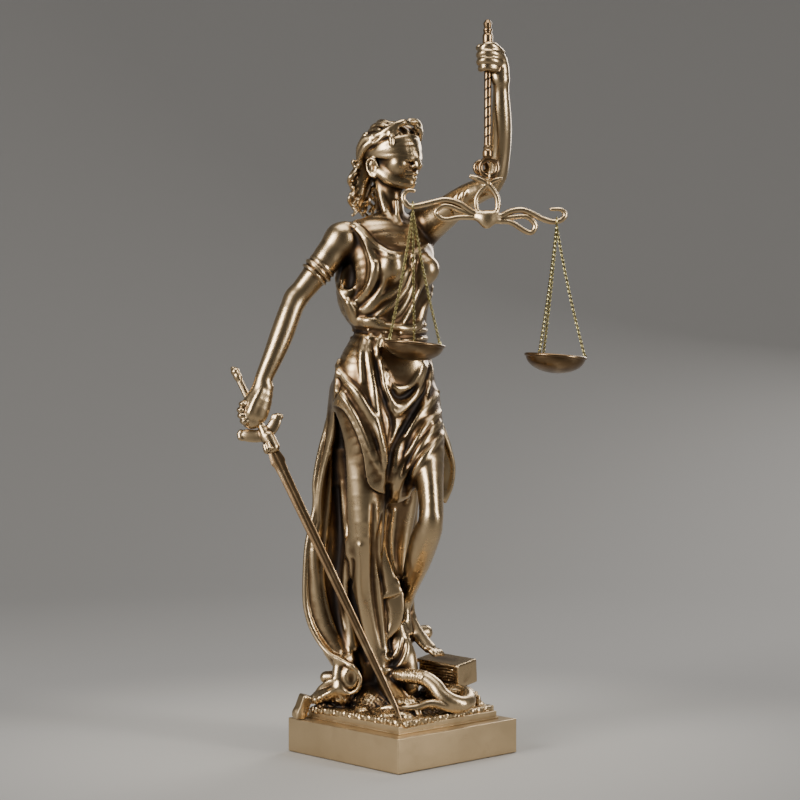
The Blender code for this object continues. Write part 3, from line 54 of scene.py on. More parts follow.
TIER_HEIGHT = 0.0066
EDGE = 0.0008
CLEARANCE = 0.0004
ROD_RADIUS = 0.0030
GRIP_RADIUS = 0.0030
BLADE_WIDTH = 0.0082
BLADE_THICKNESS = 0.0030
BEAM_RADIUS = 0.0021
PAN_RADIUS = 0.0245
PAN_DEPTH = 0.0135
PAN_WALL = 0.0014
RING_RADIUS = 0.0036
RING_WIRE = 0.0007
VIEW_TURN = math.radians(-43.1)

# One share of the figure's height, from the ground to the crown
FIGURE_SHARES = 593
SHARE = FIGURE_HEIGHT / FIGURE_SHARES
PLINTH_TOP = PLINTH_HEIGHT + TIER_HEIGHT
CLAY_VOXEL = 1.7
# The distance given to space far from any clay
FAR = 60.0

# Folds of the cloth, how thick their crests are and how softly they run out
FOLD_SHARE = 0.85
FOLD_BLEND = 4.5

# Where the viewer stands, in shares
EYE_AWAY = 1825.0
EYE = np.array([-2.2, -EYE_AWAY, 351.4])


def read_block(block, low, voxel, points):
    """Trilinear values of a block of voxels at points of shape (n, 3)."""
    where = np.clip((points - low) / voxel, 0, np.array(block.shape) - 1.001)
    base = where.astype(int)
    part = where - base
    total = np.zeros(len(points))
    for i in (0, 1):
        for j in (0, 1):
            for k in (0, 1):
                weight = (
                    (part[:, 0] if i else 1 - part[:, 0])
                    * (part[:, 1] if j else 1 - part[:, 1])
                    * (part[:, 2] if k else 1 - part[:, 2])
                )
                total += weight * block[base[:, 0] + i, base[:, 1] + j, base[:, 2] + k]
    return total


class Clay:
    """A block of voxels that holds the distance to the surface, negative inside."""

    def __init__(self, low, high, voxel):
        self.voxel = voxel
        self.low = np.asarray(low, float)
        self.count = np.ceil((np.asarray(high, float) - self.low) / voxel).astype(int) + 1
        self.field = np.full(self.count, FAR, np.float32)
        self.axes = [
            (start + voxel * np.arange(number)).astype(np.float32)
            for start, number in zip(self.low, self.count)
        ]

    def window(self, low, high):
        first = np.clip(np.floor((low - self.low) / self.voxel).astype(int), 0, self.count)
        last = np.clip(np.ceil((high - self.low) / self.voxel).astype(int) + 1, 0, self.count)
        if (last <= first).any():
            return None
        return tuple(slice(a, b) for a, b in zip(first, last))

    def places(self, part):
        x, y, z = (axis[span] for axis, span in zip(self.axes, part))
        return x[:, None, None], y[None, :, None], z[None, None, :]

    def work(self, stroke):
        """Adds or cuts one stroke."""
        reach = stroke.blend + 2.0 * self.voxel + 1.0
        low, high = stroke.box()
        whole = self.window(low - reach, high + reach)
        if whole is None:
            return
        if hasattr(stroke, "reshape"):
            self.field[whole] = stroke.reshape(self.field[whole], *self.places(whole))
            return
        origin = np.array([span.start for span in whole])
        shape = [span.stop - span.start for span in whole]
        near = np.full(shape, FAR, np.float32)
        for low, high, distance in stroke.pieces():
            part = self.window(low - reach, high + reach)
            if part is None:
                continue
            part = tuple(
                slice(max(a.start, b.start), min(a.stop, b.stop)) for a, b in zip(part, whole)
            )
            if any(span.stop <= span.start for span in part):
                continue
            local = tuple(slice(s.start - o, s.stop - o) for s, o in zip(part, origin))
            near[local] = np.minimum(near[local], distance(*self.places(part)))
        old = self.field[whole]
        k = max(stroke.blend, 1e-3)
        if stroke.cut:
            mix = np.clip(k - np.abs(old + near), 0.0, None) / k
            self.field[whole] = np.maximum(old, -near) + mix * mix * k * 0.25
        else:
            mix = np.clip(k - np.abs(old - near), 0.0, None) / k
            self.field[whole] = np.minimum(old, near) - mix * mix * k * 0.25

    def sample(self, points):
        """Trilinear distances at points of shape (n, 3)."""
        return read_block(self.field, self.low, self.voxel, points)

    def hit(self, starts, ways, length):
        """How far each ray goes before it meets the clay, or None where it misses."""
        steps = np.arange(0.0, length, self.voxel * 0.75)
        found = np.full(len(starts), np.nan)
        for i, (start, way) in enumerate(zip(starts, ways)):
            values = self.sample(start + steps[:, None] * way)
            inside = np.nonzero(values < 0)[0]
            if len(inside) == 0:
                continue
            n = inside[0]
            if n == 0:
                found[i] = 0.0
                continue
            a, b = values[n - 1], values[n]
            a = min(a, 3.0 * self.voxel)
            found[i] = steps[n - 1] + (steps[n] - steps[n - 1]) * a / (a - b)
        return found

    def mesh(self):
        grid = openvdb.FloatGrid(self.voxel * 4)
        band = np.clip(self.field, -4 * self.voxel, 4 * self.voxel)
        grid.copyFromArray(band)
        points, triangles, quads = grid.convertToPolygons(isovalue=0.0, adaptivity=0.0)
        return points * self.voxel + self.low, triangles, quads


def smooth_rows(rows, pace):
    """Rows read from a Catmull-Rom curve through the given rows, about pace apart."""
    rows = np.asarray(rows, float)
    if len(rows) == 1:
        return rows
    ends = np.vstack([2 * rows[0] - rows[1], rows, 2 * rows[-1] - rows[-2]])
    result = []
    for a, b, c, d in zip(ends[:-3], ends[1:-2], ends[2:-1], ends[3:]):
        count = max(1, int(math.ceil(np.linalg.norm(c[:3] - b[:3]) / pace)))
        for t in np.arange(count) / count:
            result.append(
                0.5 * (2 * b + (c - a) * t + (2 * a - 5 * b + 4 * c - d) * t * t
                       + (3 * b - a - 3 * c + d) * t ** 3)
            )
    result.append(rows[-1])
    result = np.array(result)
    result[:, 3:] = np.maximum(result[:, 3:], 0.15)
    return result


def thinned(count, taper):
    """Shares of a fold's radius along it, falling to taper at both ends."""
    t = np.linspace(0, 1, count)
    shape = np.clip(np.minimum(t, 1 - t) / 0.3, 0, 1)
    return taper + (1 - taper) * np.sin(shape * math.pi / 2)


class Limb:
    """A tube with an oval section. A row is x, y, z, half width along side, half depth."""

    def __init__(self, rows, side=(1, 0, 0), blend=3.0, cut=False, pace=None):
        rows = np.asarray(rows, float)
        if rows.shape[1] == 4:
            rows = np.hstack([rows, rows[:, 3:4]])
        if pace is None:
            pace = max(2.5, 0.6 * float(np.max(rows[:, 3:])))
        self.round = bool(np.allclose(rows[:, 3], rows[:, 4]))
        self.rows = smooth_rows(rows, pace)
        self.side = np.asarray(side, float)
        self.blend = blend
        self.cut = cut

    def box(self):
        size = self.rows[:, 3:5].max(axis=1)[:, None]
        return (self.rows[:, :3] - size).min(axis=0), (self.rows[:, :3] + size).max(axis=0)

    def pieces(self):
        rows = self.rows
        if len(rows) == 1:
            rows = np.vstack([rows, rows + [0, 0, 1e-3, 0, 0]])
        for a, b in zip(rows[:-1], rows[1:]):
            size = max(a[3], a[4], b[3], b[4])
            low = np.minimum(a[:3], b[:3]) - size
            high = np.maximum(a[:3], b[:3]) + size
            yield low, high, self.distance(a, b)

    def distance(self, a, b):
        axis = b[:3] - a[:3]
        length = float(np.linalg.norm(axis)) + 1e-9
        along = axis / length
        side = self.side - along * np.dot(self.side, along)
        side /= np.linalg.norm(side) + 1e-9
        front = np.cross(along, side)
        a32 = a.astype(np.float32)
        b32 = b.astype(np.float32)

        def measure(x, y, z):
            x = x - a32[0]
            y = y - a32[1]
            z = z - a32[2]
            s = x * np.float32(along[0]) + y * np.float32(along[1]) + z * np.float32(along[2])
            t = np.clip(s / np.float32(length), 0, 1)
            if self.round:
                over = s - t * np.float32(length)
                square = x * x + y * y + z * z - s * s + over * over
                return np.sqrt(np.maximum(square, 0)) - (a32[3] + t * (b32[3] - a32[3]))
            over = s - t * np.float32(length)
            u = x * np.float32(side[0]) + y * np.float32(side[1]) + z * np.float32(side[2])
            v = x * np.float32(front[0]) + y * np.float32(front[1]) + z * np.float32(front[2])
            wide = a32[3] + t * (b32[3] - a32[3])
            deep = a32[4] + t * (b32[4] - a32[4])
            end = np.minimum(wide, deep)
            u2 = (u / wide) ** 2
            v2 = (v / deep) ** 2
            o2 = (over / end) ** 2
            level = np.sqrt(u2 + v2 + o2) + 1e-6
            slope = np.sqrt(u2 / wide ** 2 + v2 / deep ** 2 + o2 / end ** 2) / level + 1e-6
            return (level - 1) / slope

        return measure


class Ball:
    """An ellipsoid with half sizes along three axes, the columns of turn."""

    def __init__(self, centre, sizes, turn=None, blend=3.0, cut=False):
        self.centre = np.asarray(centre, float)
        self.sizes = np.asarray(sizes, float) * np.ones(3)
        self.turn = np.eye(3) if turn is None else np.asarray(turn, float)
        self.blend = blend
        self.cut = cut

    def box(self):
        reach = np.sqrt(((self.turn * self.sizes) ** 2).sum(axis=1))
        return self.centre - reach, self.centre + reach

    def pieces(self):
        low, high = self.box()
        centre = self.centre.astype(np.float32)
        turn = self.turn.astype(np.float32)
        sizes = self.sizes.astype(np.float32)

        def measure(x, y, z):
            x = x - centre[0]
            y = y - centre[1]
            z = z - centre[2]
            level = 0
            slope = 0
            for i in range(3):
                w = (x * turn[0, i] + y * turn[1, i] + z * turn[2, i]) / sizes[i]
                level = level + w * w
                slope = slope + w * w / sizes[i] ** 2
            level = np.sqrt(level) + 1e-6
            return (level - 1) / (np.sqrt(slope) / level + 1e-6)

        yield low, high, measure


class Block:
    """A box with rounded edges, its half sizes along the columns of turn."""

    def __init__(self, centre, sizes, turn=None, rounding=1.0, blend=1.0, cut=False):
        self.centre = np.asarray(centre, float)
        self.sizes = np.asarray(sizes, float)
        self.turn = np.eye(3) if turn is None else np.asarray(turn, float)
        self.rounding = rounding
        self.blend = blend
        self.cut = cut

    def box(self):
        reach = np.abs(self.turn * self.sizes).sum(axis=1)
        return self.centre - reach, self.centre + reach

    def pieces(self):
        low, high = self.box()
        centre = self.centre.astype(np.float32)
        turn = self.turn.astype(np.float32)
        sizes = (self.sizes - self.rounding).astype(np.float32)

        def measure(x, y, z):
            x = x - centre[0]
            y = y - centre[1]
            z = z - centre[2]
            out = 0
            inner = None
            for i in range(3):
                w = np.abs(x * turn[0, i] + y * turn[1, i] + z * turn[2, i]) - sizes[i]
                out = out + np.maximum(w, 0) ** 2
                inner = w if inner is None else np.maximum(inner, w)
            return np.sqrt(out) + np.minimum(inner, 0) - np.float32(self.rounding)

        yield low, high, measure


class Overlay:
    """Raises the cloth on one side of a line that the viewer sees, so that its edge stands crisp."""

    def __init__(self, points, thick, fade, far):
        self.line = smooth_rows([(x, 0.0, z, 1.0) for x, z in points], 4.0)[:, [0, 2]]
        self.thick = thick
        self.fade = fade
        self.far = far
        self.blend = 0.0

    def box(self):
        low = self.line.min(axis=0) - self.fade
        high = self.line.max(axis=0) + self.fade
        return np.array([low[0], -90.0, low[1]]), np.array([high[0], self.far, high[1]])

    def reshape(self, old, x, y, z):
        k = 1 + y / EYE_AWAY
        u = EYE[0] + (x - EYE[0]) / k + 0 * z
        v = EYE[2] + (z - EYE[2]) / k + 0 * x
        near = np.full(old.shape, 1e6, np.float32)
        inside = np.zeros(old.shape, bool)
        ends = np.zeros(old.shape, bool)
        last = len(self.line) - 2
        for n, (a, b) in enumerate(zip(self.line[:-1], self.line[1:])):
            way = b - a
            length = float(np.linalg.norm(way))
            s = ((u - a[0]) * way[0] + (v - a[1]) * way[1]) / length
            off = ((u - a[0]) * way[1] - (v - a[1]) * way[0]) / length
            over = s - np.clip(s, 0, length)
            gap = np.sqrt(off * off + over * over)
            closer = gap < near
            near = np.where(closer, gap, near)
            inside = np.where(closer, off < 0, inside)
            beyond = (s < 0) if n == 0 else (s > length) if n == last else False
            ends = np.where(closer, beyond, ends)
        edge = np.where(inside, -near, near)
        lift = self.thick * np.clip(1 - near / self.fade, 0, 1)
        raised = np.maximum(old - lift, edge)
        keep = ends | (y > self.far) | (old > 6)
        return np.where(keep, old, np.minimum(old, raised)).astype(np.float32)


class Rough:
    """Stony unevenness over everything below a height."""

    def __init__(self, low, high, size, seed):
        rng = np.random.default_rng(seed)
        self.low, self.high = np.array(low, float), np.array(high, float)
        self.size = size
        self.ways = rng.normal(size=(14, 3))
        self.ways *= (2 * np.pi / rng.uniform(3.2, 11.0, 14) / np.linalg.norm(self.ways, axis=1))[:, None]
        self.starts = rng.uniform(0, 2 * np.pi, 14)
        self.blend = 0.0

    def box(self):
        return self.low, self.high

    def reshape(self, old, x, y, z):
        total = np.zeros(old.shape, np.float32)
        for way, start in zip(self.ways, self.starts):
            total += np.abs(np.sin(way[0] * x + way[1] * y + way[2] * z + start)) - 0.64
        fade = np.clip((self.high[2] - z) / 5.0, 0, 1)
        return (old + self.size * 0.55 * total * fade).astype(np.float32)


def seen(x, y, z):
    """A point that lines up with (x, z) on the middle plane for the viewer, at depth y."""
    k = 1 + y / EYE_AWAY
    return np.array([EYE[0] + (x - EYE[0]) * k, y, EYE[2] + (z - EYE[2]) * k])


def seen_rows(rows):
    """Rows of x, y, z, sizes as they line up for the viewer, turned into real rows."""
    rows = np.asarray(rows, float).copy()
    k = 1 + rows[:, 1] / EYE_AWAY
    rows[:, 0] = EYE[0] + (rows[:, 0] - EYE[0]) * k
    rows[:, 2] = EYE[2] + (rows[:, 2] - EYE[2]) * k
    return rows


def turn_z(angle):
    c, s = math.cos(angle), math.sin(angle)
    return np.array([[c, -s, 0], [s, c, 0], [0, 0, 1.0]])


def turn_x(angle):
    c, s = math.cos(angle), math.sin(angle)
    return np.array([[1.0, 0, 0], [0, c, -s], [0, s, c]])


def turn_y(angle):
    c, s = math.cos(angle), math.sin(angle)
    return np.array([[c, 0, s], [0, 1.0, 0], [-s, 0, c]])


BODY_TURN = math.radians(38)
BODY_SIDE = np.array([math.cos(BODY_TURN), math.sin(BODY_TURN), 0.0])
HEAD_TURN = math.radians(50)
BAND_AT_BROW = 11.5
BAND_AT_EAR = 3.0
HEAD_CENTRE = np.array([-10.5, 4.0, 595.0])
BOOK_SIZES = (26.5, 16.0, 12.0)
GROUND = 41.2


class Figure:
    def __init__(self, low, high, voxel):
        self.guide = Clay(low, high, voxel)
        self.strokes = []

    def add(self, stroke):
        self.strokes.append(stroke)
        self.guide.work(stroke)

    def limb(self, rows, side=(1, 0, 0), blend=3.0, cut=False, pace=None):
        self.add(Limb(seen_rows(rows), side, blend, cut, pace))

    def real_limb(self, rows, side=(1, 0, 0), blend=3.0, cut=False, pace=None):
        self.add(Limb(rows, side, blend, cut, pace))

    def ball(self, centre, sizes, turn=None, blend=3.0, cut=False):
        self.add(Ball(seen(*centre), sizes, turn, blend, cut))

    def line(self, points, radius=3.0, sink=0.35, blend=2.0, cut=False, taper=0.35):
        """A fold drawn on the surface through (x, z) as the viewer sees it."""
        rows = smooth_rows([(x, 0.0, z, radius) for x, z in points], 3.0)
        rows[:, 3] *= thinned(len(rows), taper)
        ways = rows[:, :3] - EYE
        ways /= np.linalg.norm(ways, axis=1)[:, None]
        starts = EYE + ways * (EYE_AWAY - 150.0)
        self.laid(rows[:, 3], starts, ways, 300.0, sink, blend, cut)

    def laid(self, radii, starts, ways, length, sink, blend, cut):
        depth = self.guide.hit(starts, ways, length)
        keep = np.isfinite(depth)
        count = len(radii)
        if keep.sum() < 2:
            return
        good = np.interp(np.arange(count), np.nonzero(keep)[0], depth[keep])
        top = radii.max()
        swell = (radii - radii.min()) / (top - radii.min()) if top > radii.min() else np.ones(count)
        if cut:
            good += (1 + sink) * top * swell - radii
        else:
            good += radii - (1 - sink) * top * swell
        places = starts + ways * good[:, None]
        self.add(Limb(np.column_stack([places, radii]), (1, 0, 0), blend, cut, 3.0))

    def overlay(self, points, thick=2.2, fade=22.0, far=10.0):
        """A crisp edge; the raised cloth lies to the left as the line runs, seen by the viewer."""
        self.add(Overlay(points, thick, fade, far))

    def groove(self, points, radius=2.0, blend=2.0, sink=-0.1, taper=0.3):
        self.line(points, radius, sink, blend, True, taper)

    def around(self, rows, radius, sink, blend, cut=False, centre=(-20, 5), taper=0.35):
        """A fold laid on from outside: rows are (azimuth in degrees, z) about an upright axis."""
        rows = smooth_rows([(a, 0.0, z, radius) for a, z in rows], 4.0)
        count = len(rows)
        radii = radius * thinned(count, taper)
        angle = np.radians(rows[:, 0])
        out = np.column_stack([np.sin(angle), -np.cos(angle), np.zeros(count)])
        axis = np.column_stack([np.full(count, centre[0]), np.full(count, centre[1]), rows[:, 2]])
        self.laid(radii, axis + out * 140, -out, 140.0, sink, blend, cut)


def torso(f):
    f.limb([(-14, 8, 588, 13.5, 14), (-13, 8, 560, 13, 13.5), (-12, 7, 540, 14, 14), (-11, 5, 524, 20, 16)],
           BODY_SIDE, 3)
    f.limb([
        (-12, 4, 528, 22, 14), (-11, 2, 515, 46, 21), (-10, 0, 498, 49, 27), (-9, -2, 478, 46, 29),
        (-10, -1, 455, 43, 28), (-11, 0, 435, 40, 27), (-11, 0, 420, 39, 28), (-12, 0, 405, 42, 31),
        (-15, 0, 385, 52, 36), (-18, 0, 362, 58, 39), (-18, 1, 340, 57, 38), (-18, 2, 315, 52, 34),
        (-19, 3, 290, 44, 30)
    ], BODY_SIDE, 3, pace=7)
    f.limb([(-58, -22, 514, 14), (-30, -4, 520, 13), (0, 12, 522, 13), (26, 26, 528, 14)], blend=6)
    for x, y, z in ((-12, -33, 484), (22, -9, 482)):
        f.ball((x, y, z), (15, 14, 15), blend=10)
    # cloth gathered at her right side
    f.limb([(-50, -8, 478, 12, 22), (-53, -8, 460, 13, 22), (-50, -6, 444, 12, 22),
            (-44, -2, 430, 8, 20)], blend=6)
    f.ball((-56, 0, 482), (11, 14, 24), blend=5)
    # neck cords and collar bones
    f.limb([(-24, 4, 568, 3), (-18, -6, 545, 3.2), (-8, -12, 527, 2.6)], blend=4)
    f.limb([(-6, -8, 550, 2), (-4, -12, 528, 2)], blend=4)
    f.limb([(-44, -26, 524, 3), (-24, -20, 520, 2.6), (-8, -14, 519, 2)], blend=4)
    # belly
    f.ball((3, -21, 383), (20, 14, 21), blend=12)


def legs(f):
    f.limb([(-37, -14, 350, 30, 28), (-38, -20, 290, 25, 25), (-37, -24, 232, 19, 20),
            (-37, -24, 218, 18, 18),
            (-36, -14, 180, 17, 18), (-27, -10, 125, 12, 13), (-18, -10, 84, 9, 10),
            (-14, -12, 68, 9, 10)], blend=6)
    f.limb([(10, 8, 350, 28, 28), (20, -18, 310, 22, 24), (28, -42, 262, 13, 19), (29, -50, 236, 12, 15),
            (28, -50, 226, 12, 14), (22, -40, 211, 13.5, 15), (15, -22, 190, 12.5, 14), (8, -2, 170, 9, 10),
            (4, 18, 153, 6, 6.5), (3, 30, 144, 5.5, 6)], blend=4)
    f.ball((30, -58, 231), (8, 6, 10), blend=6)
    # the bare foot on the book
    f.limb([(3, 30, 143, 6, 6.5), (6, 27, 134, 6.8, 7), (13, 21, 121, 7.6, 6.2), (22, 15, 109, 8.2, 4.8),
            (28, 12, 103, 8, 4)],
           (0.8, 0.6, 0), 3, pace=4)
    f.ball((3, 38, 130), (6, 7, 7), blend=4)
    for n in range(5):
        x, y = 25 + 2.3 * n, 8 + 3.0 * n
        big = 2.9 if n == 0 else 2.0
        f.limb([(x, y, 102, big), (x + 4, y - 4, 100, big),
                (x + 7, y - 6 + n, 97, big * 0.9)], blend=1.2, pace=2)
    # the standing foot
    f.limb([(-15, -12, 72, 10, 10), (-10, -22, 62, 9.5, 8), (-3, -36, 54, 10, 6), (2, -44, 50, 10, 4.5)],
           (0.8, 0.3, 0), 4, pace=4)
    for n in range(5):
        x, y = -5 + 3.6 * n, -47 + 2.0 * n
        big = 3.2 if n == 4 else 2.3
        f.limb([(x, y, 52, big), (x + 1.5, y - 5, 51, big),
                (x + 2.5, y - 8, 48.5, big * 0.9)], blend=1.2, pace=2)


def skirt(f):
    f.limb([(-18, 8, 352, 57, 34), (-27, 12, 310, 53, 30), (-36, 16, 260, 53, 26), (-38, 20, 225, 52, 24),
            (-44, 20, 200, 54, 24), (-44, 24, 160, 54, 24), (-38, 26, 120, 48, 24), (-26, 24, 85, 38, 24),
            (-20, 20, 52, 38, 26)],
           (1, 0.25, 0), 6, pace=9)
    f.limb([(-64, -22, 338, 3, 8), (-63, -22, 310, 8, 16), (-66, -18, 270, 15, 22), (-70, -14, 225, 17, 22),
            (-72, -12, 180, 16, 20), (-66, -10, 130, 13, 18), (-50, -8, 80, 9, 14)], blend=5, cut=True)
    f.limb([(10, -20, 262, 4, 10), (6, -16, 230, 12, 22), (2, -12, 190, 14, 24), (0, -10, 140, 14, 22),
            (0, -6, 100, 12, 20)], blend=5, cut=True)
    # the calf of the bent leg in front of the hollow
    f.limb([(27, -49, 222, 12, 14), (22, -40, 211, 13.5, 15), (15, -22, 190, 12.5, 14),
            (9, -4, 170, 9.5, 10), (4, 16, 153, 7, 7), (3, 28, 144, 6.4, 6.6)], blend=3)
    # rim of the sweep down the left, curling up in a scroll by the ground
    f.limb([(-69, -6, 346, 2.6), (-75, -4, 326, 2.6), (-81.5, -2, 301, 2.8), (-87, 0, 270, 2.8),
            (-86.5, 2, 246, 2.8),
            (-90.5, 2, 226, 2.8), (-95, 2, 205, 2.8), (-97, 2, 175, 2.6), (-97, 2, 150, 2.5),
            (-94.5, 1, 135, 2.4),
            (-90, -1, 122, 2.4), (-82, -5, 108, 2.3), (-73, -10, 97.5, 2.3), (-61, -14, 91, 2.4),
            (-50, -19, 85.5, 2.5)], blend=2.0)
    # broad hollow cloth inside the sweep
    for rows in (
        [(-72, 5, 325, 3, 3), (-78, 6, 290, 6, 3.5), (-79, 8, 250, 8, 4), (-83, 9, 210, 10, 4.5),
         (-86, 9, 170, 10, 4.5), (-82, 7, 140, 10, 4.5), (-71, 2, 114, 9, 4), (-58, -4, 98, 7, 4)],
        [(-64, 8, 300, 4, 3), (-64, 10, 255, 6, 3.5), (-66, 10, 210, 7, 4), (-66, 10, 170, 7, 4),
         (-60, 7, 135, 7, 4), (-50, 0, 104, 5, 3.5)],
    ):
        f.limb(rows, blend=9)
    for rows in (
        [(-71, 300), (-72, 262), (-76, 220), (-80, 180), (-74, 142), (-62, 114), (-50, 97)],
        [(-60, 268), (-61, 230), (-66, 190), (-66, 155), (-58, 122)],
    ):
        f.line(rows, 1.5, 0.2, 3)
    # scroll of cloth at the ground, a shallow bell with a thin rim
    f.limb([(-56, -2, 92, 10), (-58, -4, 74, 11), (-60, -6, 56, 12)], blend=4)
    f.limb([(-63, -9, 88, 6, 5), (-64, -11, 76, 6.5, 6), (-64, -11, 66, 7, 6)], (1, 0, 0), 5)
    f.ball((-52, -12, 73.5), (10.5, 8, 14), blend=2.5)
    f.ball((-50.5, -26.5, 73), (9.5, 9.5, 12), blend=2, cut=True)
    f.limb([(-54, -18, 86, 2), (-47, -20, 82, 2), (-42.5, -21, 75.5, 2), (-41.8, -21, 68, 2),
            (-45.5, -20, 61, 2),
            (-53, -18, 58, 2), (-60, -17, 61, 2), (-62.5, -16, 69, 2)], blend=1.8, pace=3)
    f.limb([(-62, -8, 64, 12, 9), (-74, -6, 58, 12, 8), (-86, -5, 53, 9, 6)], (0, 1, 0), 4)
    f.line([(-68, 72), (-76, 68), (-86, 60)], 2.6, 0.0, 2.5)
    f.line([(-66, 62), (-76, 57), (-86, 51)], 2.4, 0.0, 2.5)
    f.limb([(-76, 4, 74, 6.3), (-66, 2, 74, 7)], blend=2)
    # long soft folds of the clinging cloth on the standing leg
    for rows, radius in (
        ([(-62, 300), (-58, 262), (-56, 228), (-54, 200), (-56, 170), (-53, 140), (-44, 106)], 1.8),
        ([(-42, 205), (-41, 185), (-42, 160), (-38, 132), (-30, 104), (-20, 82)], 1.6),
    ):
        f.line(rows, radius, 0.6, 8)
    f.groove([(-29, 246), (-29, 225), (-28, 202), (-28, 164), (-24, 130), (-20, 105)], 3.2, 4, 0.0)
    for rows, radius in (
        ([(-66, 262), (-64, 230), (-65, 200), (-68, 165), (-64, 130), (-56, 100)], 2.2),
        ([(-50, 190), (-51, 165), (-49, 140), (-44, 112), (-36, 90)], 1.0),
    ):
        f.groove(rows, radius, 6)
    # hanging strip between the legs, in two tiers
    f.limb([(-17, -26, 256, 3, 2.5), (-19, -25, 238, 4.5, 2.4), (-22, -23, 214, 5.5, 2.4),
            (-21, -21, 195, 6.8, 2.6),
            (-15.5, -19, 173, 9.2, 3), (-10.5, -18, 157, 11.5, 3.2)], (1, 0, 0), 1.5, pace=5)
    f.limb([(-9.5, -13, 158, 11, 2.6), (-9, -13, 142, 11, 2.8), (-10.5, -13, 128, 9, 2.6),
            (-15, -13, 117, 5, 2.4), (-18.5, -13, 109, 1.4, 1.6)], (1, 0, 0), 1.5, pace=5)
    f.groove([(-20, 236), (-24, 208), (-22, 182), (-17, 160)], 1.8, 4, -0.2)
    f.groove([(-17, 150), (-14, 134), (-15, 120)], 1.6, 3, -0.2)
    # cloth gathered above the ankle, with a swirl
    f.limb([(-4, 0, 124, 7, 6), (-3, -4, 108, 12, 8), (0, -6, 94, 14, 9), (2, -6, 80, 14, 10),
            (4, -5, 66, 13, 10)], blend=5)
    f.line([(-1, 112), (-4, 102), (-9, 94), (-15, 92), (-18, 96), (-15, 101), (-11, 99)], 2.0, 0.2, 2)
    f.line([(6, 108), (4, 98), (-2, 88), (-12, 82), (-22, 80)], 2.4, 0.4, 4)
    f.groove([(2, 112), (0, 100), (-6, 88), (-16, 85)], 1.6, 3)
    # dark folds of the back cloth beside the bare leg
    f.limb([(8, 16, 290, 5), (8, 18, 250, 5), (2, 18, 215, 5), (-1, 16, 180, 5), (2, 12, 150, 5),
            (5, 8, 120, 5)], blend=9)
    f.line([(-8, 240), (-11, 215), (-10, 190), (-4, 168)], 1.6, 0.5, 5)


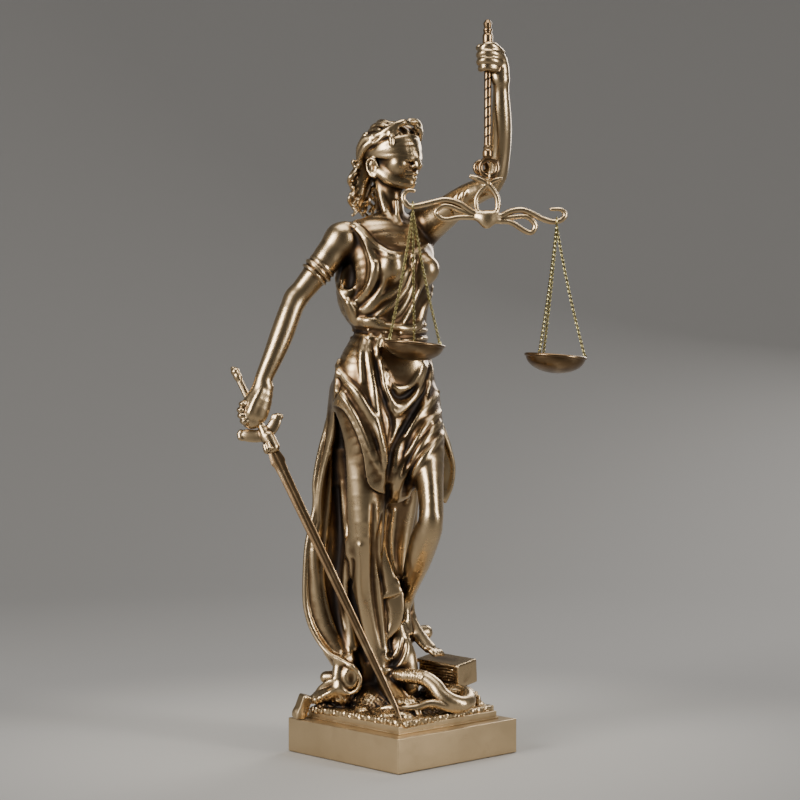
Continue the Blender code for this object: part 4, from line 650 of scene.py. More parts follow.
def clothes(f):
    f.limb([(-20, -12, 350, 50, 30), (-14, -18, 310, 42, 26), (-8, -20, 280, 30, 22),
            (-8, -20, 262, 16, 14)],
           BODY_SIDE, 8, pace=8)
    # flap behind the bare thigh
    f.limb([(36, 6, 325, 6, 4), (41, 10, 305, 8, 4), (43, 12, 285, 9, 4), (42, 14, 268, 9, 4),
            (40, 14, 254, 5, 4)],
           (1, 0, 0), 3, pace=5)
    f.limb([(40, 2, 322, 2), (47, 6, 303, 2.2), (51, 10, 285, 2.4), (49, 12, 266, 2.4),
            (43, 14, 250, 2)], blend=2)
    # edge of the over-skirt, from the left hip to its point and back up
    f.overlay([(-69.5, 347), (-58, 340), (-46.5, 319), (-39.5, 298), (-37, 282), (-34, 268), (-27, 261),
               (-17, 257)], 3.0, 26)
    # folds of the skirt front
    for rows, radius in (
        ([(-32, 416), (-34, 402), (-32, 385), (-28, 362), (-26, 344), (-21, 316), (-18, 293), (-16, 268)],
         3.2),
        ([(-21, 416), (-24, 405), (-26, 393)], 2.4),
        ([(-38, 414), (-41, 395), (-40, 370)], 2.2),
        ([(-16, 379), (-12, 367), (-5, 363), (6, 365), (15, 374), (21, 387)], 2.4),
        ([(-21, 392), (-19, 367), (-11, 351), (-5, 345), (3, 348), (12, 358), (18, 369), (25, 387)], 2.8),
        ([(-14, 346), (-9, 339), (-2, 340), (7, 348), (18, 360), (26, 371), (29, 380)], 2.8),
        ([(-63, 379), (-48, 360), (-39, 345), (-27, 324), (-20, 309), (-15, 285)], 3.2),
        ([(-66, 385), (-57, 371), (-44, 358), (-32, 339), (-25, 328), (-19, 300)], 2.6),
        ([(-66, 362), (-52, 345), (-42, 328), (-32, 305), (-22, 280)], 2.6),
        ([(-64, 392), (-65, 371), (-67, 353)], 2.6),
        ([(37, 360), (26, 346), (12, 332), (4, 316)], 3.2),
        ([(38, 340), (23, 323), (13, 307), (3, 288), (-4, 270), (-9, 255)], 3.0),
        ([(41, 318), (28, 302), (15, 284), (9, 267), (4, 250)], 3.0),
        ([(38, 329), (20, 308), (8, 288), (-1, 268), (-5, 250)], 2.2),
        ([(29, 385), (28, 372), (22, 354), (14, 338)], 2.6),
    ):
        f.line(rows, radius * FOLD_SHARE, 0.0, FOLD_BLEND)
    for rows, radius in (
        ([(26, 368), (22, 356), (10, 336), (-2, 316), (-9, 301), (-12, 282), (-14, 259), (-13, 240)],
         3.4),
        ([(-12, 372), (-6, 356), (4, 356), (16, 366)], 1.8),
        ([(-28, 400), (-22, 370), (-16, 348), (-10, 330), (-12, 310)], 2.4),
        ([(-56, 358), (-44, 336), (-34, 312), (-26, 290)], 1.8),
        ([(30, 328), (18, 312), (8, 296), (0, 276)], 1.8),
    ):
        f.groove(rows, radius, 3.5)
    # the dress round the chest: rim of the armhole, neckline and the fan of folds
    for rows, radius in (
        ([(-57, 528), (-48, 525), (-41, 515), (-35, 500), (-32, 486), (-34, 469), (-41, 457), (-50, 449),
         (-58, 454), (-64, 464), (-66, 473)], 2.2),
        ([(-45, 525), (-37, 513), (-30, 498), (-27, 486), (-31, 469), (-39, 454), (-46, 445)], 2.0),
        ([(-47, 527), (-37, 518), (-29, 509), (-17, 501), (-8, 498), (4, 497), (14, 500), (24, 508)],
         2.0),
        ([(-37, 515), (-26, 506), (-14, 499)], 1.6),
        ([(11, 494), (5, 480), (-2, 465), (-12, 457), (-22, 451), (-31, 443), (-39, 438), (-47, 440),
         (-54, 447)], 2.8),
        ([(12, 490), (9, 478), (4, 463), (-4, 453), (-13, 445), (-24, 436), (-35, 429)], 2.4),
        ([(-17, 473), (-21, 461), (-31, 449), (-39, 442), (-47, 443), (-53, 449)], 2.0),
        ([(-26, 487), (-28, 473), (-35, 458)], 1.8),
        ([(22, 473), (15, 459), (10, 447), (4, 435), (0, 428)], 2.4),
        ([(30, 464), (27, 453), (21, 441), (18, 431), (12, 423)], 2.4),
        ([(11, 466), (5, 452), (-2, 441), (-10, 434)], 2.2),
        ([(-57, 447), (-54, 441), (-49, 431), (-41, 428), (-31, 427), (-17, 425), (0, 423), (10, 423),
         (24, 427)], 3.6),
        ([(-55, 450), (-46, 434), (-33, 431), (-20, 430)], 2.6),
    ):
        f.line(rows, radius * FOLD_SHARE, 0.0, FOLD_BLEND)
    for rows, radius in (
        ([(-46, 424), (-31, 421), (-15, 419), (0, 418), (22, 420)], 1.6),
        ([(-46, 417), (-31, 414), (-15, 412), (0, 411), (22, 413)], 1.6),
    ):
        f.line(rows, radius, 0.1, 1.0, taper=1.0)
    f.overlay([(-52, 527), (-41, 515), (-35, 500), (-32, 486), (-34, 469), (-41, 457), (-50, 449)], 1.8, 12)
    f.overlay([(26, 509), (14, 500), (4, 497), (-8, 498), (-17, 501), (-29, 509), (-37, 518), (-45, 526)],
               1.6, 12)
    # hollow of the bare side inside the armhole
    f.ball((-54, -26, 476), (7, 6, 14), blend=5, cut=True)


def hand_right(f):
    # her right hand, closed on the sword grip: the smooth back, then the knuckles on its edge
    f.limb([(-137, -42, 364, 8.5, 8), (-143, -42, 352, 13, 10), (-148.5, -42, 339, 14.5, 11),
            (-150.5, -42, 331.5, 10.5, 9), (-155, -42, 327.5, 4, 4.5)], (1, 0, 0), 4)
    for x, z in ((-159, 347.5), (-161, 341.5), (-160.5, 335.8), (-158, 330.2)):
        f.ball((x, -47, z), (4.6, 6.5, 3.2), blend=1.6)
    f.line([(-141, 361), (-147, 350), (-153, 336), (-157, 328)], 2.6, 0.5, 5)


def hand_left(f):
    f.limb([(98.6, -61, 671, 7.9, 7.6), (98.8, -60, 680, 8.0, 8.2), (97.5, -58, 690, 7.6, 8.8),
            (94.5, -58, 699, 6.2, 8.4), (91, -58, 705, 4.4, 6.4)], (1, 0, 0), 3)
    f.limb([(95, -62, 674, 5.5), (92.5, -63, 680, 5)], blend=4)
    for rows in (
        [(98.5, -63, 698.5, 4.2), (93, -70, 703.5, 4.1), (86.5, -73.5, 706, 3.9), (80.2, -71, 703.2, 3.6),
         (78.6, -64, 701, 3.3)],
        [(99.8, -63, 693, 4.3), (92.5, -71, 697.4, 4.3), (84, -74, 698.6, 4.1), (78, -70, 697, 3.7),
         (77.4, -62, 695.5, 3.4)],
        [(99.2, -63, 686.8, 4.3), (92.5, -71, 690.2, 4.3), (84, -74, 691.4, 4.0), (78.1, -70, 689.8, 3.7),
         (77.6, -62, 688.6, 3.4)],
        [(97, -62, 681.5, 4.0), (91.5, -69.5, 683.4, 4.0), (84, -72.5, 684.4, 3.8), (79.3, -69, 683, 3.4),
         (78.8, -62, 682.2, 3.1)],
    ):
        f.limb(rows, blend=1.1, pace=2.5)
    # thumb, round the far side of the rod
    f.limb([(94, -55, 690, 5), (86, -53, 700, 4.4), (79, -57, 704, 3.8), (76.6, -62, 703.4, 3)], blend=1.5)


def right_arm(f):
    f.ball((-62, -22, 510), (16, 16, 17), blend=8)
    f.limb([(-62, -22, 512, 14.5), (-74, -24, 494, 15), (-90, -25, 473, 12.5),
            (-107, -26, 452, 11)], blend=4)
    f.limb([(-106, -26, 454, 11), (-112, -30, 440, 11.5), (-121, -34, 415, 11.5), (-129, -38, 395, 10.2),
            (-139, -41, 372, 8.5), (-143, -42, 360, 7.5)], blend=4)
    # armlet
    along = np.array([-18, -2, -20.0])
    along /= np.linalg.norm(along)
    middle = seen(-84, -25, 481)
    for shift, size in ((-5.5, 1.5), (0, 2.2), (5.5, 1.5)):
        c = middle + along * shift
        ring = []
        u = np.cross(along, (0, 1, 0))
        u /= np.linalg.norm(u)
        v = np.cross(along, u)
        for t in np.linspace(0, 2 * math.pi, 13):
            ring.append((*(c + (u * math.cos(t) + v * math.sin(t)) * 13.8), size))
        f.real_limb(ring, blend=1.0, pace=4)


def left_arm(f):
    f.ball((22, 28, 530), (17, 17, 17), blend=8)
    f.limb([(18, 28, 520, 19), (42, 6, 538, 15.5), (64, -12, 554, 13), (86, -30, 565, 11)], blend=6)
    f.limb([(87, -31, 565, 10.5), (94, -33, 576, 10.6), (98, -40, 600, 10), (99.3, -48, 622, 9.8),
            (99, -54, 642, 9), (98.7, -58, 660, 7.7), (98.5, -61, 672, 7.8)], blend=4)
    # pleats where the sleeve ends on the upper arm
    for n in range(3):
        x, z = 52 + 5.5 * n, 547 + 2.5 * n
        f.line([(x + 2, z + 9), (x, z + 4), (x - 1, z - 4), (x + 2, z - 10)], 2.0, 0.1, 2.0)


def head_frame():
    turn = turn_z(HEAD_TURN)
    return turn, seen(*HEAD_CENTRE)


def head(f):
    turn, origin = head_frame()

    def at(x, y, z):
        # x toward her left, y forward, z up
        return origin + turn @ np.array([x, -y, z])

    def rows(points):
        return [(*at(p[0], p[1], p[2]), *p[3:]) for p in points]

    f.add(Ball(at(0, -1, 7), (23.5, 29, 24.5), turn, 2))
    f.add(Ball(at(0, 9, -8), (20, 21, 25), turn, 5))
    f.real_limb(rows([(-19, -3, -15, 5), (-15, 8, -24, 5.5), (-6, 19, -29, 5)]), blend=6)
    f.real_limb(rows([(19, -3, -15, 5), (15, 8, -24, 5.5), (6, 19, -29, 5)]), blend=6)
    f.add(Ball(at(0, 23, -29), (6.5, 6, 5.5), turn, 5))
    f.add(Ball(at(-12, 18, -10), (7, 8, 7), turn, 6))
    f.add(Ball(at(12, 18, -10), (7, 8, 7), turn, 6))
    f.add(Ball(at(0, 23, -20), (8.5, 6.5, 7), turn, 4))
    # nose
    f.real_limb(rows([(0, 28, 3, 3.2), (0, 31.5, -4, 3.2), (0, 34.5, -10.5, 3.4),
                      (0, 35.4, -12.5, 3.3)]), blend=3)
    f.add(Ball(at(-3.8, 31.5, -13), (2.4, 3, 2.2), turn, 1.5))
    f.add(Ball(at(3.8, 31.5, -13), (2.4, 3, 2.2), turn, 1.5))
    # lips
    f.real_limb(rows([(-7.5, 25.5, -21, 1.0), (-3, 29, -19.8, 2.0), (0, 29.6, -20.3, 1.8),
                      (3, 29, -19.8, 2.0),
                      (7.5, 25.5, -21, 1.0)]), blend=1.5, pace=2)
    f.real_limb(rows([(-6, 26, -23.2, 1.2), (0, 28.6, -24, 2.3), (6, 26, -23.2, 1.2)]), blend=1.5, pace=2)
    f.real_limb(rows([(-8, 26, -21.6, 0.7), (-3, 30, -21.8, 0.8), (0, 30.6, -22.2, 0.8),
                      (3, 30, -21.8, 0.8),
                      (8, 26, -21.6, 0.7)]), blend=0.8, cut=True, pace=2)
    # ear
    for s in (-1, 1):
        f.add(Ball(at(s * 22, -6, -13.5), (3.2, 5.6, 8.6), turn, 2))
        f.add(Ball(at(s * 25.6, -5, -12.5), (2.6, 3.2, 5.2), turn, 1.2, True))
        f.real_limb(rows([(s * 23, 0.6, -12, 1.1), (s * 24.2, -1, -6.4, 1.4), (s * 25.2, -5.5, -4.2, 1.5),
                    (s * 25.6, -10, -7, 1.5), (s * 25.2, -10.4, -13.5, 1.4), (s * 24, -6.5, -20.5, 1.7),
                    (s * 22.6, -2.6, -22, 1.7), (s * 22, -1, -18, 1.3)]), blend=0.8, pace=2.5)
    # blindfold: a wide band of soft creases over the brow that narrows toward the ears
    ring = np.linspace(0, 2 * math.pi, 41)
    strands = 7
    for n in range(strands):
        share = 2 * n / (strands - 1) - 1
        loop = []
        for t in ring:
            front = max(0.0, math.cos(t)) ** 0.8
            half = BAND_AT_EAR + (BAND_AT_BROW - BAND_AT_EAR) * front
            height = 0.5 + 5.5 * front + half * share + 0.5 * math.sin(3 * t + 2 * n)
            across = math.sqrt(max(0.3, 1 - ((height - 7) / 25.5) ** 2))
            ahead = across + max(0.0, 1.07 - across) * min(1.0, max(0.0, (7 - height) / 9))
            loop.append((*at(24.4 * across * math.sin(t), -1 + 30.2 * ahead * math.cos(t), height),
                         1.7 + 1.0 * front))
        f.real_limb(loop, blend=1.6, pace=4)
    # nose bridge under the band
    f.add(Ball(at(0, 28, 1), (5, 4.5, 8), turn, 6))
    hair(f, at, rows)


def hair(f, at, rows):
    turn, _ = head_frame()
    f.add(Ball(at(0, -3, 12), (24.5, 28, 22), turn, 3))
    # waves swept back from the parting over the crown
    lanes = 7
    for side in (-1, 1):
        for n in range(lanes):
            share = n / (lanes - 1)
            path = []
            for t in np.linspace(0, 1, 10):
                angle = math.radians(5 + 140 * t)
                lift = 1.0 + 0.05 * math.sin(9 * t + 1.3 * n)
                spread = 3 + 17 * share ** 0.8 - 8 * t * t * share
                x = side * (spread + 6 * math.sin(math.pi * t) * (1 - share))
                ring_r = 27 - 9 * share
                y = -3 + (ring_r + 1) * math.cos(angle) * lift
                z = 7 + (ring_r + 2) * math.sin(angle) * lift * (0.95 - 0.1 * share)
                x += 3.4 * math.sin(9 * t + 2.1 * n)
                path.append((x, y, z + 0.8 * math.cos(9 * t + 2.1 * n), 2.7 - 0.5 * t))
            f.real_limb(rows(path), blend=0.5, pace=3)
    # waves from the temples back over the ears
    for s in (-1, 1):
        for n in range(3):
            path = []
            for t in np.linspace(0, 1, 13):
                angle = math.radians(38 + 80 * t)
                wave = 1.5 * math.sin(11 * t + 2.2 * n)
                path.append((s * 24.3 * math.sin(angle), -2 + 27.5 * math.cos(angle),
                             26 - 3.0 * n - 12 * t + wave, 2.3))
            f.real_limb(rows(path), blend=0.5, pace=3)
    for lock in (
        [(2, 22, 33, 3.4), (9, 23.5, 32.5, 4.2), (15, 22, 29, 4.2), (19.5, 18, 24, 3.8),
         (22.5, 13, 18, 3.2)],
        [(9, 25.5, 27, 3.0), (15.5, 23.5, 25, 3.4), (20, 19.5, 20, 3.2), (22.5, 16, 14, 2.6)],
        [(-3, 24, 31, 2.8), (-10, 23, 30.5, 3.4), (-16, 18, 27.5, 3.4), (-20.5, 11, 23, 3.2),
         (-23, 3, 19, 3), (-24.5, -5, 14, 2.8)],
    ):
        f.real_limb(rows(lock), blend=1.0, pace=3)
    # gathered waves above and behind the ears, and curls down the nape
    curls = (
        ((-24, -6, 12), (-26, -12, 8), (-25, -18, 2), (-22, -23, -4), (-18, -26, -12)),
        ((-24, -6, 16), (-25, -14, 15), (-24, -21, 9), (-20, -26, 2), (-16, -29, -6)),
        ((-18, -18, 20), (-17, -24, 14), (-14, -28, 6), (-11, -30, -4), (-9, -31, -14)),
        ((24, -6, 12), (26, -12, 8), (25, -18, 2), (22, -23, -4), (17, -26, -12)),
        ((24, -6, 16), (25, -14, 15), (24, -21, 9), (19, -26, 2), (14, -29, -6)),
    )
    for rows_in in curls:
        f.real_limb(rows([(*p, 4.2 - 0.3 * i) for i, p in enumerate(rows_in)]), blend=1.5, pace=3)
    # tail of curls down the back of the neck
    f.real_limb(rows([(-8, -22, -4, 12, 8), (-10, -28, -20, 11, 8), (-14, -31, -38, 9, 7),
                      (-18, -31, -50, 6, 5)]),
                turn @ np.array([1.0, 0, 0]), blend=4, pace=6)
    for n in range(10):
        x0 = -25 + 4.0 * n
        path = []
        for t in np.linspace(0, 1, 20):
            sway = (2.6 + 1.6 * t) * math.sin(15 * t + 1.9 * n)
            out = 2.8 * math.cos(15 * t + 1.9 * n)
            bulge = 8 * math.sin(math.pi * min(1, t * 1.2)) * math.cos((n - 4) * 0.3)
            drop = (50 + 5 * math.sin(n * 2.3)) * t
            path.append((x0 + sway - 6 * t, -26 - bulge - out, -6 - drop, 2.9 * (1 - 0.45 * t)))
        f.real_limb(rows(path), blend=0.5, pace=2.5)


def ground(f):
    half = 65.5
    turn = turn_z(math.radians(46.9))
    f.add(Block((0, 0, GROUND + 1.5), (half, half, 3.2), turn, 1.5, 1.0))
    rng = np.random.default_rng(5)
    for n in range(70):
        u, v = rng.uniform(-54, 54, 2)
        p = turn @ np.array([u, v, 0])
        size = rng.uniform(4, 9)
        sizes = (size * 1.3, size, rng.uniform(2.5, 5.5))
        f.add(Ball((p[0], p[1], GROUND + 5.5), sizes, turn_z(rng.uniform(0, 3)), 1.5))
    f.limb([(-30, 10, 48, 40, 22), (-10, 10, 50, 40, 20)], (0, 1, 0), 6)
    # mounds of rock under the book and along the front
    f.add(Ball((46, 30, GROUND + 9), (33, 25, 15), turn_z(-0.7), 4))
    f.add(Ball((44, 28, GROUND + 16), (24, 15, 11), turn_z(-0.7), 4))
    f.ball((0, -40, 33), (46, 16, 9), blend=4)
    f.add(Rough((-100, -100, 30), (100, 100, 62), 0.62, 11))
    # pointed rock at the left corner
    f.add(Ball(seen(-102.5, -6, 39), (7.5, 6, 6.5), None, 4))
    f.add(Block(seen(-100, -6, 44.5), (5.8, 5.6, 12.5), turn_y(0.34) @ turn_z(0.6), 1.8, 2.0))
    # leaves at the right corner
    for x, y, z, lean in ((70, -4, 46, 0.5), (76, 0, 50, 0.1), (81, 2, 45, -0.5), (73, 4, 54, 0.2)):
        f.add(Ball(seen(x, y, z), (2.6, 2.6, 7), turn_y(lean), 1.5))


def book(f):
    turn = turn_z(math.radians(-39.7)) @ turn_x(math.radians(7)) @ turn_y(math.radians(3))
    centre = np.array([44.6, 26.0, 77.5])
    long, deep, thick = BOOK_SIZES
    cover, over = 1.9, 2.0
    f.add(Block(centre, (long - over, deep - over, thick - cover), turn, 0.6, 0.6))
    for way in (-1, 1):
        f.add(Block(centre + turn @ np.array([0, 0, way * (thick - cover)]), (long, deep, cover), turn,
              0.8, 0.4))
    for n in range(6):
        level = (n - 2.5) * 2.9
        f.add(Block(centre + turn @ np.array([-1, -deep + over - 0.4, level]), (long - 4, 1.3, 0.5), turn,
              0.2, 0.3, True))
        f.add(Block(centre + turn @ np.array([-long + over - 0.4, 0, level]), (1.3, deep - 3, 0.5), turn,
              0.2, 0.3, True))
    # the spine at the right, a little proud of the covers
    f.add(Block(centre + turn @ np.array([long - 1.5, 0, 0]), (2.4, deep, thick), turn, 1.2, 0.6))


def snake(f):
    # from the hem forward, along the front in a thick coil, and back under it to the tail
    front = seen_rows([(-8, -16, 76, 6.2), (1, -25, 75.5, 6.6), (12, -30, 75, 7.0), (24, -34, 72, 7.6),
                       (33, -38, 64.5, 8.2), (39, -42, 56, 8.6), (48, -44, 49.5, 8.8), (59, -41, 47, 8.3),
                       (66, -31, 51, 7.6), (63, -17, 58, 7), (50, -8, 61, 6.5)])
    f.real_limb(front, blend=1.2, pace=4)
    # plates across its belly where it lies turned over
    path = smooth_rows(np.column_stack([front, front[:, 3]])[:4], 2.8)
    for spot, after in zip(path[:-1], path[1:]):
        way = (after - spot)[:3] / np.linalg.norm((after - spot)[:3])
        aside = np.cross(way, (0, 0, 1))
        aside /= np.linalg.norm(aside)
        plate = np.column_stack([way, aside, np.cross(way, aside)])
        f.add(Ball(spot[:3], (0.9, spot[3] + 1.1, spot[3] + 1.1), plate, 0.4))
    f.limb([(56, -44, 42, 4.6), (43, -49, 45, 4.6), (28, -51, 48, 4.3), (16, -52, 44, 4.1),
            (4, -52, 42.5, 4),
            (-8, -50, 43.5, 3.6), (-20, -47, 42.5, 3), (-33, -42, 36, 1.8)], blend=1.0, pace=4)
    f.limb([(-4, -2, 92, 7), (0, 2, 100, 7.5), (2, 14, 110, 7.5), (10, 28, 117, 7.6), (17, 34, 118, 7.8),
            (23, 38, 119, 7.6)],
           blend=3)


def back(f):
    """Plainer folds round the sides and the back, where the viewer does not look."""
    centre = (-24, 12)
    for azimuth, top, foot, lean, radius in (
        (105, 380, 60, 10, 4.0), (122, 395, 55, 4, 5.0), (138, 385, 50, -4, 4.2), (152, 400, 52, -8, 5.2),
        (166, 390, 50, -10, 4.4), (180, 398, 50, -10, 5.2), (194, 388, 50, -10, 4.4),
        (208, 400, 52, -8, 5.0), (222, 385, 58, -6, 4.2), (236, 370, 70, -4, 4.6),
        (252, 345, 100, -2, 3.6),
    ):
        rows = []
        for t in np.linspace(0, 1, 7):
            swing = lean * math.sin(math.pi * 0.5 * t) + 3.0 * math.sin(5 * t + azimuth)
            rows.append((azimuth + swing, top + (foot - top) * t))
        f.around(rows, radius, 0.3, 4, centre=centre, taper=0.3)
    for azimuth in (115, 130, 145, 159, 173, 187, 201, 215, 229, 244):
        rows = []
        for t in np.linspace(0, 1, 7):
            rows.append((azimuth + 2.5 * math.sin(5 * t + azimuth + 1), 375 - 290 * t))
        f.around(rows, 3.0, -0.1, 3, True, centre=centre, taper=0.2)
    # the cloth over her back falls from the shoulder to the belt
    for start, end in ((200, 150), (215, 165), (228, 182), (240, 200), (250, 222)):
        rows = []
        for t in np.linspace(0, 1, 6):
            rows.append((start + (end - start) * t, 512 - 85 * t - 8 * math.sin(math.pi * t)))
        f.around(rows, 2.6, 0.2, 2.5, centre=(-10, 4), taper=0.3)
    # belt round the waist
    for z in (421, 413):
        f.around([(a, z) for a in range(70, 300, 20)], 1.7, 0.1, 1.0, centre=(-11, 0), taper=1.0)


def build(f):
    torso(f)
    legs(f)
    skirt(f)
    clothes(f)
    back(f)
    right_arm(f)
    hand_right(f)
    left_arm(f)
    hand_left(f)
    head(f)
    ground(f)
    book(f)
    snake(f)


def place(x, y, z):
    """Metres, in the viewer's frame, of a point in shares that lines up with (x, z)."""
    point = seen(x, y, z) * SHARE
    return Vector((point[0], point[1], point[2] + PLINTH_TOP - GROUND * SHARE))


SWORD_TOP = (-167, -34, 380)
SWORD_TIP = (-1, -90, 31.5)
# Each wing of the guard: how far below its middle, how far across and how thick, in shares
GUARD_WINGS = (
    ((0, 0, 5.5), (-3, -9, 5.6), (-8, -17, 5.4), (-11, -22.5, 3.4)),
    ((0, 0, 5.5), (-3, 8, 5.4), (-7, 14, 5.0), (-10, 18.5, 3.4)),
)
BALANCE_Y = -64
ROD_X = 85.5
ROD_SHAFT = 3.5
ROD_COLLAR = 5.0
# Height and radius down the rod from its finial, in shares
ROD_LEVELS = (
    (732, 0.8), (731, 2.6), (728, 4.3), (724.5, 3.6), (723, 3.2), (722, 4.4), (720.5, 4.4), (719, 3.8),
    (717, 4.4), (716, ROD_COLLAR), (709, ROD_COLLAR), (707, 4.2), (684, 4.2), (682, ROD_SHAFT),
    (606, ROD_SHAFT), (604, 4.4), (602, 3.8), (600, ROD_COLLAR), (595, ROD_COLLAR), (592.5, 3.4),
)
RING_X = 86.7
RING_Z = 583.7
RING_MAJOR = 8.2
RING_MINOR = 2.5
BACK_RING = (78.8, 6.6, 5.8, 2.2)
BEAM_CURVES = (
    ([(68.4, 575), (77, 572), (85.2, 567.5), (92, 559.5), (95.5, 551), (94.5, 541), (87, 534)], 1.1),
    ([(99, 573), (93, 571.3), (85.2, 567), (78, 560), (73.8, 552), (75, 542), (83, 534)], 0.9),
    ([(85, 534), (71, 539), (57, 548), (44, 551.5), (34, 550), (20, 546.5), (8, 545), (2, 550), (1, 556),
     (6, 561), (12, 560.5)], 1.1),
    ([(84, 533), (68, 534), (56.5, 534), (45, 532), (38, 533.4), (33.4, 539), (39.7, 545), (48, 545),
     (58, 541), (68, 537), (84, 533)], 1.0),
    ([(86, 533), (98, 535), (108.5, 540), (119.5, 541.5), (129.5, 538), (139, 533), (150.6, 529.6),
     (160, 532), (163, 537.5), (158, 542), (149, 542)], 1.1),
    ([(86, 531), (98, 530), (108.5, 529), (122.5, 520.5), (129.5, 519), (133, 526), (125, 534.5),
     (113, 534.5), (101, 533), (86, 531)], 1.0),
)
PANS = (
    ("left", (10.6, 545.6), (12.0, 407.0), (150, 30, 270), 5.5),
    ("right", (154.5, 529.8), (153.4, 394.5), (9, 129, 249), 4.5),
)
# How far the rolled rim stands over the pan's edge, in walls
RIM_LIFT = 1.4

# Fine clay: the figure's strokes once more, in slabs that share one lattice
FINE_VOXEL = 1.07
LATTICE = np.array([-190.0, -120.0, 24.0])
SLAB_EDGES = (34.0, 78.0, 128.0, 190.0, 255.0, 325.0, 400.0, 470.0, 545.0, 600.0, 722.0)
SHARED_VOXELS = 8


def solid_share(field, voxel, radius):
    """How much of the space within about radius of each voxel is clay."""
    share = np.clip(0.5 - field / (2 * voxel), 0, 1).astype(np.float32)
    reach = max(1, int(round(radius / voxel / 1.4)))
    for axis in range(3):
        for _ in range(2):
            wide = np.pad(share, [(reach + 1, reach) if a == axis else (0, 0) for a in range(3)], "edge")
            total = np.cumsum(wide, axis=axis, dtype=np.float32)
            count = share.shape[axis]
            high = np.take(total, np.arange(2 * reach + 1, 2 * reach + 1 + count), axis=axis)
            low = np.take(total, np.arange(0, count), axis=axis)
            share = (high - low) / (2 * reach + 1)
    return share


def point_normals(points, quads):
    corners = points[quads]
    faces = np.cross(corners[:, 2] - corners[:, 0], corners[:, 3] - corners[:, 1])
    total = np.zeros_like(points)
    for i in range(4):
        np.add.at(total, quads[:, i], faces)
    return total / (np.linalg.norm(total, axis=1)[:, None] + 1e-12)


def without_crumbs(quads, count, least):
    """Leaves out loose bits of fewer than least points."""
    label = np.arange(count)
    ends = np.concatenate([quads[:, [0, 1]], quads[:, [1, 2]], quads[:, [2, 3]]])
    while True:
        low = np.minimum(label[ends[:, 0]], label[ends[:, 1]])
        new = label.copy()
        np.minimum.at(new, ends[:, 0], low)
        np.minimum.at(new, ends[:, 1], low)
        new = new[new]
        new = new[new]
        if (new == label).all():
            break
        label = new
    sizes = np.bincount(label, minlength=count)
    return quads[sizes[label[quads[:, 0]]] >= least]


class Surface:
    """A skinned stretch of clay: points in shares, quads, normals and how hollow each point lies."""

    def __init__(self, points, quads, normals, hollow):
        self.points = points
        self.quads = quads
        self.normals = normals
        self.hollow = hollow


def skinned(clay, wide, low_z=-1e9, high_z=1e9):
    """Skins the clay between two heights. wide holds (block, low, voxel) of the broader hollows."""
    points, _, quads = clay.mesh()
    quads = without_crumbs(quads.astype(np.int64), len(points), 150)
    normals = point_normals(points, quads)
    middle = points[quads, 2].mean(axis=1)
    quads = quads[(middle >= low_z) & (middle < high_z)]
    used, places = np.unique(quads, return_inverse=True)
    points = points[used]
    hollow = [read_block(solid_share(clay.field, clay.voxel, 1.6), clay.low, clay.voxel, points) - 0.5]
    for block, low, voxel in wide:
        hollow.append(read_block(block, low, voxel, points) - 0.5)
    return Surface(points, places.reshape(-1, 4), normals[used], hollow)


def slab(figure, wide, low_z, high_z):
    """The fine clay of the figure between two heights, skinned."""
    guide = figure.guide
    margin = SHARED_VOXELS * FINE_VOXEL
    heights = guide.axes[2]
    near = (guide.field[:, :, (heights > low_z - margin) & (heights < high_z + margin)] < 4).any(axis=2)
    across = guide.axes[0][near.any(axis=1)]
    deep = guide.axes[1][near.any(axis=0)]
    low = np.array([across.min() - 4, deep.min() - 4, low_z - margin])
    high = np.array([across.max() + 4, deep.max() + 4, high_z + margin])
    low = LATTICE + FINE_VOXEL * np.floor((low - LATTICE) / FINE_VOXEL)
    clay = Clay(low, high, FINE_VOXEL)
    for stroke in figure.strokes:
        clay.work(stroke)
    return skinned(clay, wide, low_z, high_z)


def to_metres(points):
    """Real points in shares turned into metres in the part's own frame."""
    places = points * SHARE
    places[:, 2] += PLINTH_TOP - GROUND * SHARE
    turn = np.array(Matrix.Rotation(VIEW_TURN, 3, "Z"))
    return places @ turn.T


def piece_of(name, surface, look):
    """A mesh object of a skinned surface, in the part's frame."""
    mesh = bpy.data.meshes.new(name)
    mesh.from_pydata(to_metres(surface.points).tolist(), [], surface.quads.tolist())
    mesh.shade_smooth()
    turn = np.array(Matrix.Rotation(VIEW_TURN, 3, "Z"))
    mesh.normals_split_custom_set_from_vertices((surface.normals @ turn.T).tolist())
    # the hollow shares go out as layers that the bronze darkens by, as patina and as painted shade
    for label, values in zip(("crease", "hollow", "deep"), surface.hollow):
        attribute = mesh.attributes.new(label, "FLOAT", "POINT")
        attribute.data.foreach_set("value", values.astype(np.float32))
    mesh.materials.append(look)
    made = bpy.data.objects.new(name, mesh)
    bpy.context.scene.collection.objects.link(made)
    return made


def rides(made, node):
    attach(made, "root")
    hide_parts(node)
    return made


def make_figure(look):
    figure = Figure((-185, -112, 30), (122, 94, 722), CLAY_VOXEL)
    build(figure)
    guide = figure.guide
    # broad hollow shares, which the bronze turns into patina and painted shade, deepest between large forms
    wide = [(solid_share(guide.field, guide.voxel, radius), guide.low, guide.voxel)
            for radius in (5.0, 14.0)]
    spans = list(zip(SLAB_EDGES[:-1], SLAB_EDGES[1:]))
    with ThreadPoolExecutor(4) as pool:
        made = list(pool.map(lambda span: slab(figure, wide, *span), spans))
    for n, surface in enumerate(made):
        rides(piece_of(f"figure_{n}", surface, look), "figure")


